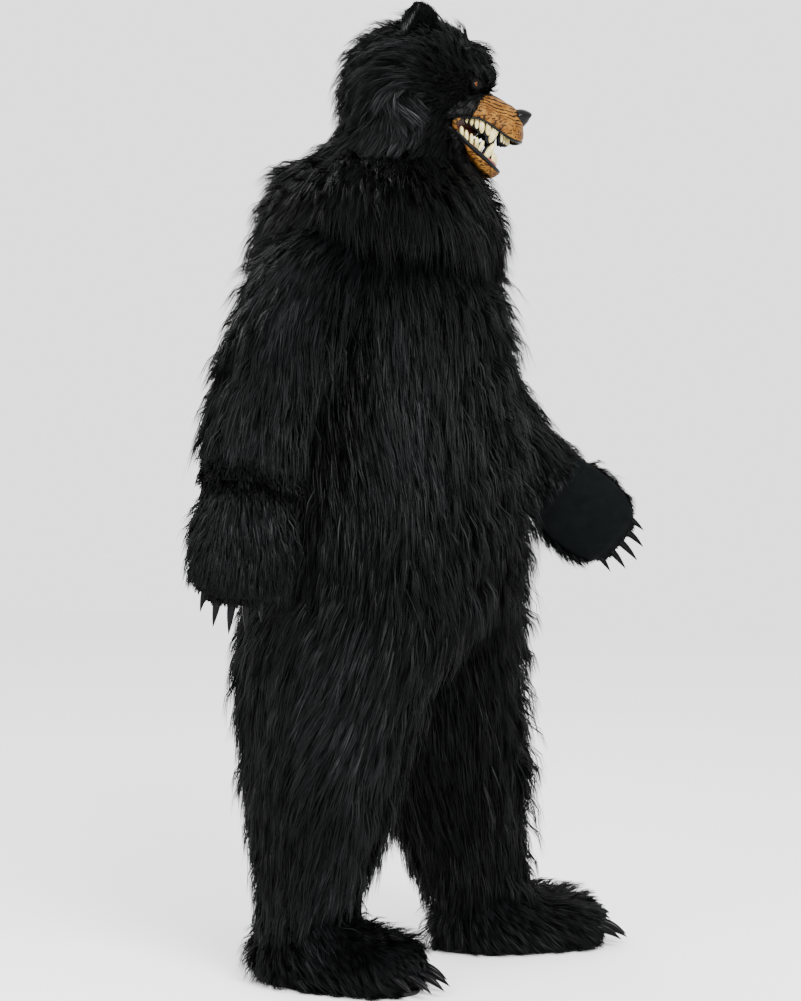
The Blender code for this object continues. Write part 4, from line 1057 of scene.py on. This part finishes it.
muzzleLatex = latexMaterial("muzzleLatexPainted", math.radians(31), 0.310, 0.500, muzzleEdge)
jawLatex = latexMaterial("jawLatexPainted", math.radians(62), 0.60, 0.510, jawEdge)
cornerEdge = dict(forward=0.0, height=1.64, lean=0.0)
cornerLatex = latexMaterial("mouthCornerLatexPainted", math.radians(62), 0.60, 0.470, cornerEdge)
lipLatex = grainMaterial(
    "lipLatexBlack", 0.34, 0.08, 260.0, [(0.3, (0.002, 0.002, 0.0025)), (0.8, (0.006, 0.007, 0.009))],
    relief=0.3)
gumLatex = grainMaterial(
    "gumLatexRed", 0.28, 0.55, 150.0, [(0.3, (0.10, 0.012, 0.014)), (0.75, (0.42, 0.060, 0.065))], relief=0.3)
liningLatex = grainMaterial(
    "mouthLiningLatex", 0.45, 0.4, 90.0, [(0.3, (0.012, 0.003, 0.003)), (0.75, (0.085, 0.024, 0.016))],
    relief=0.4, depth=0.002, detail=4.0)


def latexOf(name, nodeName, material, line, swell):
    # the CAD's latex wall, rounded off and given its snarl folds and pores
    made = copyOfNode(name, nodeName, material)
    subdivide(made, 2)
    co, normals = pointsOf(made)
    away = awayFrom(line, co)
    isOuter = np.clip((normals * away).sum(1), 0, 1)
    forward, left, height = onHead(co)
    folds = (forward * 0.9 + height * 0.5 + np.abs(left) * 0.5) * 420 + 2.0 * softNoise(co, 30, 3)
    folds = np.sin(folds) * 0.0006
    pores = softNoise(co, 160, 5) * 0.0005 + softNoise(co, 45, 8) * 0.0014
    setPoints(made, co + away * (isOuter * (folds + pores + swell))[:, None])
    made.data.shade_smooth()


latexOf("muzzleLatex", "muzzle", muzzleLatex, muzzleLine, 0.0012)
latexOf("jawLatex", "jaw", jawLatex, jawLine, 0.0030)

upperLip = [  # forward, left, height above the floor and radius, from the corner of the mouth to the front
    (0.140, 0.074, 1.6965, 0.0012), (0.160, 0.070, 1.6985, 0.0022), (0.184, 0.065, 1.6975, 0.0022),
    (0.200, 0.060, 1.6905, 0.0022), (0.214, 0.056, 1.6815, 0.0022), (0.229, 0.051, 1.6705, 0.0022),
    (0.246, 0.043, 1.6600, 0.0026), (0.258, 0.034, 1.6555, 0.0030), (0.268, 0.018, 1.6560, 0.0032),
    (0.272, 0.0, 1.657, 0.0034),
]
lowerLip = [
    (0.138, 0.070, 1.6750, 0.0020), (0.150, 0.067, 1.6620, 0.0035), (0.164, 0.060, 1.6470, 0.0045),
    (0.182, 0.053, 1.6330, 0.0048), (0.202, 0.042, 1.6160, 0.0048), (0.215, 0.028, 1.6050, 0.0045),
    (0.223, 0.012, 1.5990, 0.0042), (0.226, 0.0, 1.597, 0.0045),
]
mouthCorner = [
    (0.150, 0.071, 1.698, 0.002), (0.141, 0.073, 1.694, 0.0045), (0.136, 0.073, 1.687, 0.0055),
    (0.137, 0.072, 1.679, 0.0045), (0.144, 0.069, 1.672, 0.002),
]


def headTube(name, rows, material, sides=3):
    made = tubeAlong(name, [headPoint(*row[:3]) for row in rows], [row[3] for row in rows], material, sides)
    inSlot(made)


def mirrored(rows):
    # from the right corner of the mouth round the front to the left one
    return [(row[0], -row[1], *row[2:]) for row in rows[:-1]] + rows[::-1]


headTube("upperLipEdge", mirrored(upperLip), lipLatex)
headTube("lowerLipBand", mirrored(lowerLip), lipLatex, 4)
for side, way in bothWays.items():
    headTube("mouthCorner" + side.title(), [(f, way * l, h, r) for f, l, h, r in mouthCorner], cornerLatex, 4)

lining = dict(rows=13, columns=25, thickness=0.002, forward=0.142, bulge=0.044, hollow=0.012,
              low=1.669, high=1.702, wave=0.004, halfWidth=0.062)


def mouthLining():
    # the back of the mouth, a curved sheet between the two gums
    rows, columns = lining["rows"], lining["columns"]
    depth, tall = lining["hollow"], lining["high"] - lining["low"]
    points = []
    for layer in (0.0, lining["thickness"]):
        for level in np.linspace(0, 1, rows):
            for a in np.linspace(-1, 1, columns):
                bulge = lining["bulge"] * math.cos(a * math.pi / 2)
                forward = lining["forward"] + bulge - depth * math.sin(level * math.pi) - layer
                height = lining["low"] + tall * level + lining["wave"] * math.cos(a * math.pi)
                points.append(headPoint(forward, a * lining["halfWidth"], height))
    number = np.arange(rows * columns * 2).reshape(2, rows, columns)
    a, b, c, d = number[:, :-1, :-1], number[:, :-1, 1:], number[:, 1:, 1:], number[:, 1:, :-1]
    faces = np.array([[a[0], b[0], c[0], d[0]], [a[1], d[1], c[1], b[1]]])
    faces = faces.transpose(2, 3, 0, 1).reshape(-1, 4).tolist()
    rim = list(number[0, 0]) + list(number[0, 1:, -1])
    rim = rim + list(number[0, -1, -2::-1]) + list(number[0, -2:0:-1, 0])
    layerSize = rows * columns
    for first, second in zip(rim, rim[1:] + rim[:1]):
        faces.append((second, first, first + layerSize, second + layerSize))
    mesh = bpy.data.meshes.new("mouthLining")
    mesh.from_pydata([tuple(p) for p in points], [], [tuple(int(v) for v in f) for f in faces])
    mesh.materials.append(liningLatex)
    mesh.shade_smooth()
    cleanMesh(mesh)
    inSlot(newObject("mouthLining", mesh))


mouthLining()

ivory = [(0.25, (0.22, 0.175, 0.055)), (0.5, (0.44, 0.37, 0.15)), (0.8, (0.60, 0.53, 0.27))]
toothResin = grainMaterial("toothResinIvory", 0.25, 0.5, 170.0, ivory, relief=0.2, stretch=(1, 1, 0.35))
teeth = {  # root forward and height, tip forward and height, place aside, width
    "upper": [
        (0.1610, 1.6990, 0.1615, 1.6876, 0.0615, 0.0080), (0.1707, 1.6990, 0.1717, 1.6825, 0.0595, 0.0088),
        (0.1805, 1.6975, 0.1822, 1.6766, 0.0570, 0.0105), (0.1908, 1.6930, 0.1920, 1.6684, 0.0545, 0.0130),
        (0.2040, 1.6880, 0.2045, 1.6645, 0.0505, 0.0140), (0.2205, 1.6810, 0.2084, 1.6505, 0.0465, 0.0165),
        (0.2306, 1.6740, 0.2316, 1.6524, 0.0360, 0.0070), (0.2357, 1.6700, 0.2365, 1.6500, 0.0280, 0.0072),
        (0.2400, 1.6665, 0.2405, 1.6495, 0.0200, 0.0075), (0.2432, 1.6640, 0.2437, 1.6485, 0.0120, 0.0078),
        (0.2448, 1.6630, 0.2455, 1.6480, 0.0040, 0.0078),
    ],
    "lower": [
        (0.1509, 1.6640, 0.1520, 1.6825, 0.0600, 0.0115), (0.1602, 1.6550, 0.1615, 1.6754, 0.0560, 0.0115),
        (0.1703, 1.6485, 0.1718, 1.6685, 0.0515, 0.0115), (0.1800, 1.6425, 0.1825, 1.6623, 0.0465, 0.0115),
        (0.1846, 1.6370, 0.1967, 1.6554, 0.0430, 0.0105), (0.1985, 1.6260, 0.2189, 1.6512, 0.0370, 0.0145),
        (0.2125, 1.6190, 0.2149, 1.6360, 0.0270, 0.0085), (0.2165, 1.6170, 0.2190, 1.6330, 0.0185, 0.0080),
        (0.2190, 1.6150, 0.2212, 1.6310, 0.0110, 0.0078), (0.2200, 1.6145, 0.2222, 1.6305, 0.0036, 0.0072),
    ],
}
toothRows = {
    "upper": dict(way=1, narrowed=0.80, backTip=0.05),
    "lower": dict(way=-1, narrowed=0.70, backTip=-0.12),
}
canine = dict(least=0.0142, narrowed=0.90, pointed=1.5)  # a tooth at least this wide is a canine
plainPointed = 2.4
backing = dict(inward=0.0045, broader=1.42, blunter=0.6, thickness=0.13)  # the dark wall behind each tooth
gumRadius = 0.0038


def makeTooth(root, tip, width, pointed, thickness=0.40, material=toothResin):
    # a sphere drawn out from root to tip, flattened against the lip and narrowed to its point
    bpy.ops.object.select_all(action="DESELECT")
    bpy.ops.mesh.primitive_uv_sphere_add(segments=14, ring_count=12, radius=1.0)
    made = bpy.context.object
    co, _ = pointsOf(made)
    share = (co[:, 2] + 1) / 2
    ring = np.sqrt(np.clip(1 - co[:, 2] ** 2, 1e-9, 1))
    outward = np.maximum((share - 0.5) / 0.5, 0)
    girth = np.where(share < 0.5, 1.0, np.clip(1 - outward**pointed, 0, 1) ** 0.62)
    girth = girth * np.where(share < 0.5, 0.80 + 0.20 * np.sin(share * math.pi), 1.0)
    flat = co[:, :2] * 1.08 / ring[:, None] * np.where((share < 0.001) | (share > 0.999), 0, girth)[:, None]
    length = np.linalg.norm(tip - root)
    axis = (tip - root) / length
    thick = unit(headLeft - axis * (headLeft @ axis))
    broad = np.cross(axis, thick)
    back = -headForward * length * 0.05
    placed = root + axis * (share * length)[:, None] + broad * (flat[:, :1] * width / 2)
    placed = placed + thick * (flat[:, 1:] * width * thickness) + back * (share**2)[:, None]
    setPoints(made, placed)
    made.data.materials.append(material)
    made.data.shade_smooth()
    return made


for row, place in toothRows.items():
    made, dark = [], []
    sunk = place["way"] * 0.003
    for rootForward, rootHeight, tipForward, tipHeight, aside, width in teeth[row]:
        isCanine = width > canine["least"]
        pointed = canine["pointed"] if isCanine else plainPointed
        width = width * (canine["narrowed"] if isCanine else place["narrowed"])
        for way in (-1, 1):
            root = headPoint(rootForward, way * aside, rootHeight + sunk)
            tip = headPoint(tipForward, way * aside, tipHeight)
            made.append(makeTooth(root, tip, width, pointed))
            inward = unit(headPoint(0.150, 0, rootHeight) - root) * backing["inward"]
            backTip = tip + (tip - root) * place["backTip"]
            dark.append(makeTooth(root + inward, backTip + inward, width * backing["broader"],
                                  pointed + backing["blunter"], backing["thickness"], lipLatex))
    inSlot(joined(row + "TeethBacking", dark))
    inSlot(joined(row + "TeethResin", made), row + "_teeth")
    path = [(r[0] - 0.001, r[4] - 0.003, r[1] + sunk) for r in teeth[row]]
    path = [headPoint(f, -l, h) for f, l, h in path] + [headPoint(f, l, h) for f, l, h in path[::-1]]
    inSlot(tubeAlong(row + "Gum", path, [gumRadius] * len(path), gumLatex, smoothness=3))
print("mouth done")

noseLatex, tree, shader = newMaterial("noseLatexGloss", 0.12, 0.09)
pebble = addNode(tree, "TexVoronoi", {"Scale": 520.0, "Vector": turnedPlace(tree)}).outputs["Distance"]
paintWith(tree, shader, ramp(
    tree, pebble, [(0.1, (0.0040, 0.0040, 0.0045)), (0.7, (0.0018, 0.0018, 0.0020))]))
addBump(tree, shader, pebble, 0.25, 0.0008)
noseForm = dict(back=0.0045, raised=0.004, scale=1.22)
nose = smoothCopy("noseGloss", "nose", noseLatex, 2)
co, _ = pointsOf(nose)
middle = co.mean(0)
seat = middle - headForward * noseForm["back"] + up * noseForm["raised"]
setPoints(nose, seat + (co - middle) * noseForm["scale"])

irisRings = [  # share of the eye's radius from the middle of its front, and colour
    (0.0, (0.001, 0.001, 0.001)), (0.24, (0.001, 0.001, 0.001)), (0.30, (0.030, 0.009, 0.002)),
    (0.50, (0.080, 0.026, 0.005)), (0.62, (0.008, 0.003, 0.001)), (0.9, (0.002, 0.002, 0.002)),
]
eyeForm = dict(radius=0.012, front=0.0115, lidForward=0.0085, lidWide=0.0092, lidHigh=0.0074,
               lidRadius=0.0040)


def eyeMaterial(name, centre, look):
    # a dark pupil in an amber iris with a dark edge, measured from the middle of the eye's front
    made, tree, shader = newMaterial(name, 0.10, 0.10)
    own = addNode(tree, "TexCoord", {}).outputs["Object"]
    front = {0: own, 1: centre + look * eyeForm["front"]}
    away = addNode(tree, "VectorMath", front, operation="DISTANCE").outputs["Value"]
    reach = addNode(tree, "Math", {0: away, 1: 1 / eyeForm["radius"]}, operation="MULTIPLY").outputs["Value"]
    flecks = noiseAt(tree, turnedPlace(tree), 700.0, 2.0)
    flecks = ramp(tree, flecks, [(0.2, (0.6,) * 3), (0.8, (1.3,) * 3)])
    paintWith(tree, shader, mixColours(tree, "MULTIPLY", ramp(tree, reach, irisRings), flecks))
    return made


lidLatex = grainMaterial(
    "eyelidLatexBlack", 0.65, 0.03, 400.0,
    [(0.3, (0.0010, 0.0010, 0.0011)), (0.8, (0.0035, 0.0033, 0.0030))], 0.4)
for side, way in bothWays.items():
    centre, title = eyeCentre(side), side.title()
    look = unit(headLeft * way * 0.80 + headForward * 0.58 + up * 0.05)
    gaze = unit(headLeft * way * 0.62 + headForward * 0.78)
    bpy.ops.object.select_all(action="DESELECT")
    bpy.ops.mesh.primitive_uv_sphere_add(segments=40, ring_count=28, radius=eyeForm["radius"])
    eye = bpy.context.object
    eye.name = "eye" + title + "Ball"
    co, _ = pointsOf(eye)
    setPoints(eye, co + centre)
    eye.data.materials.append(eyeMaterial("eyeResin" + title, centre, gaze))
    eye.data.shade_smooth()
    inSlot(eye, "eye_" + side)
    across = unit(np.cross(look, up))
    top = np.cross(across, look)
    middle, wide, high = centre + look * eyeForm["lidForward"], eyeForm["lidWide"], eyeForm["lidHigh"]
    lid = [middle + across * wide * math.cos(t) + top * high * math.sin(t)
           for t in np.linspace(0, 2 * math.pi, 21)]
    rim = tubeAlong("eyelid" + title, lid, [eyeForm["lidRadius"]] * len(lid), lidLatex, smoothness=2)
    inSlot(rim)
print("face done")
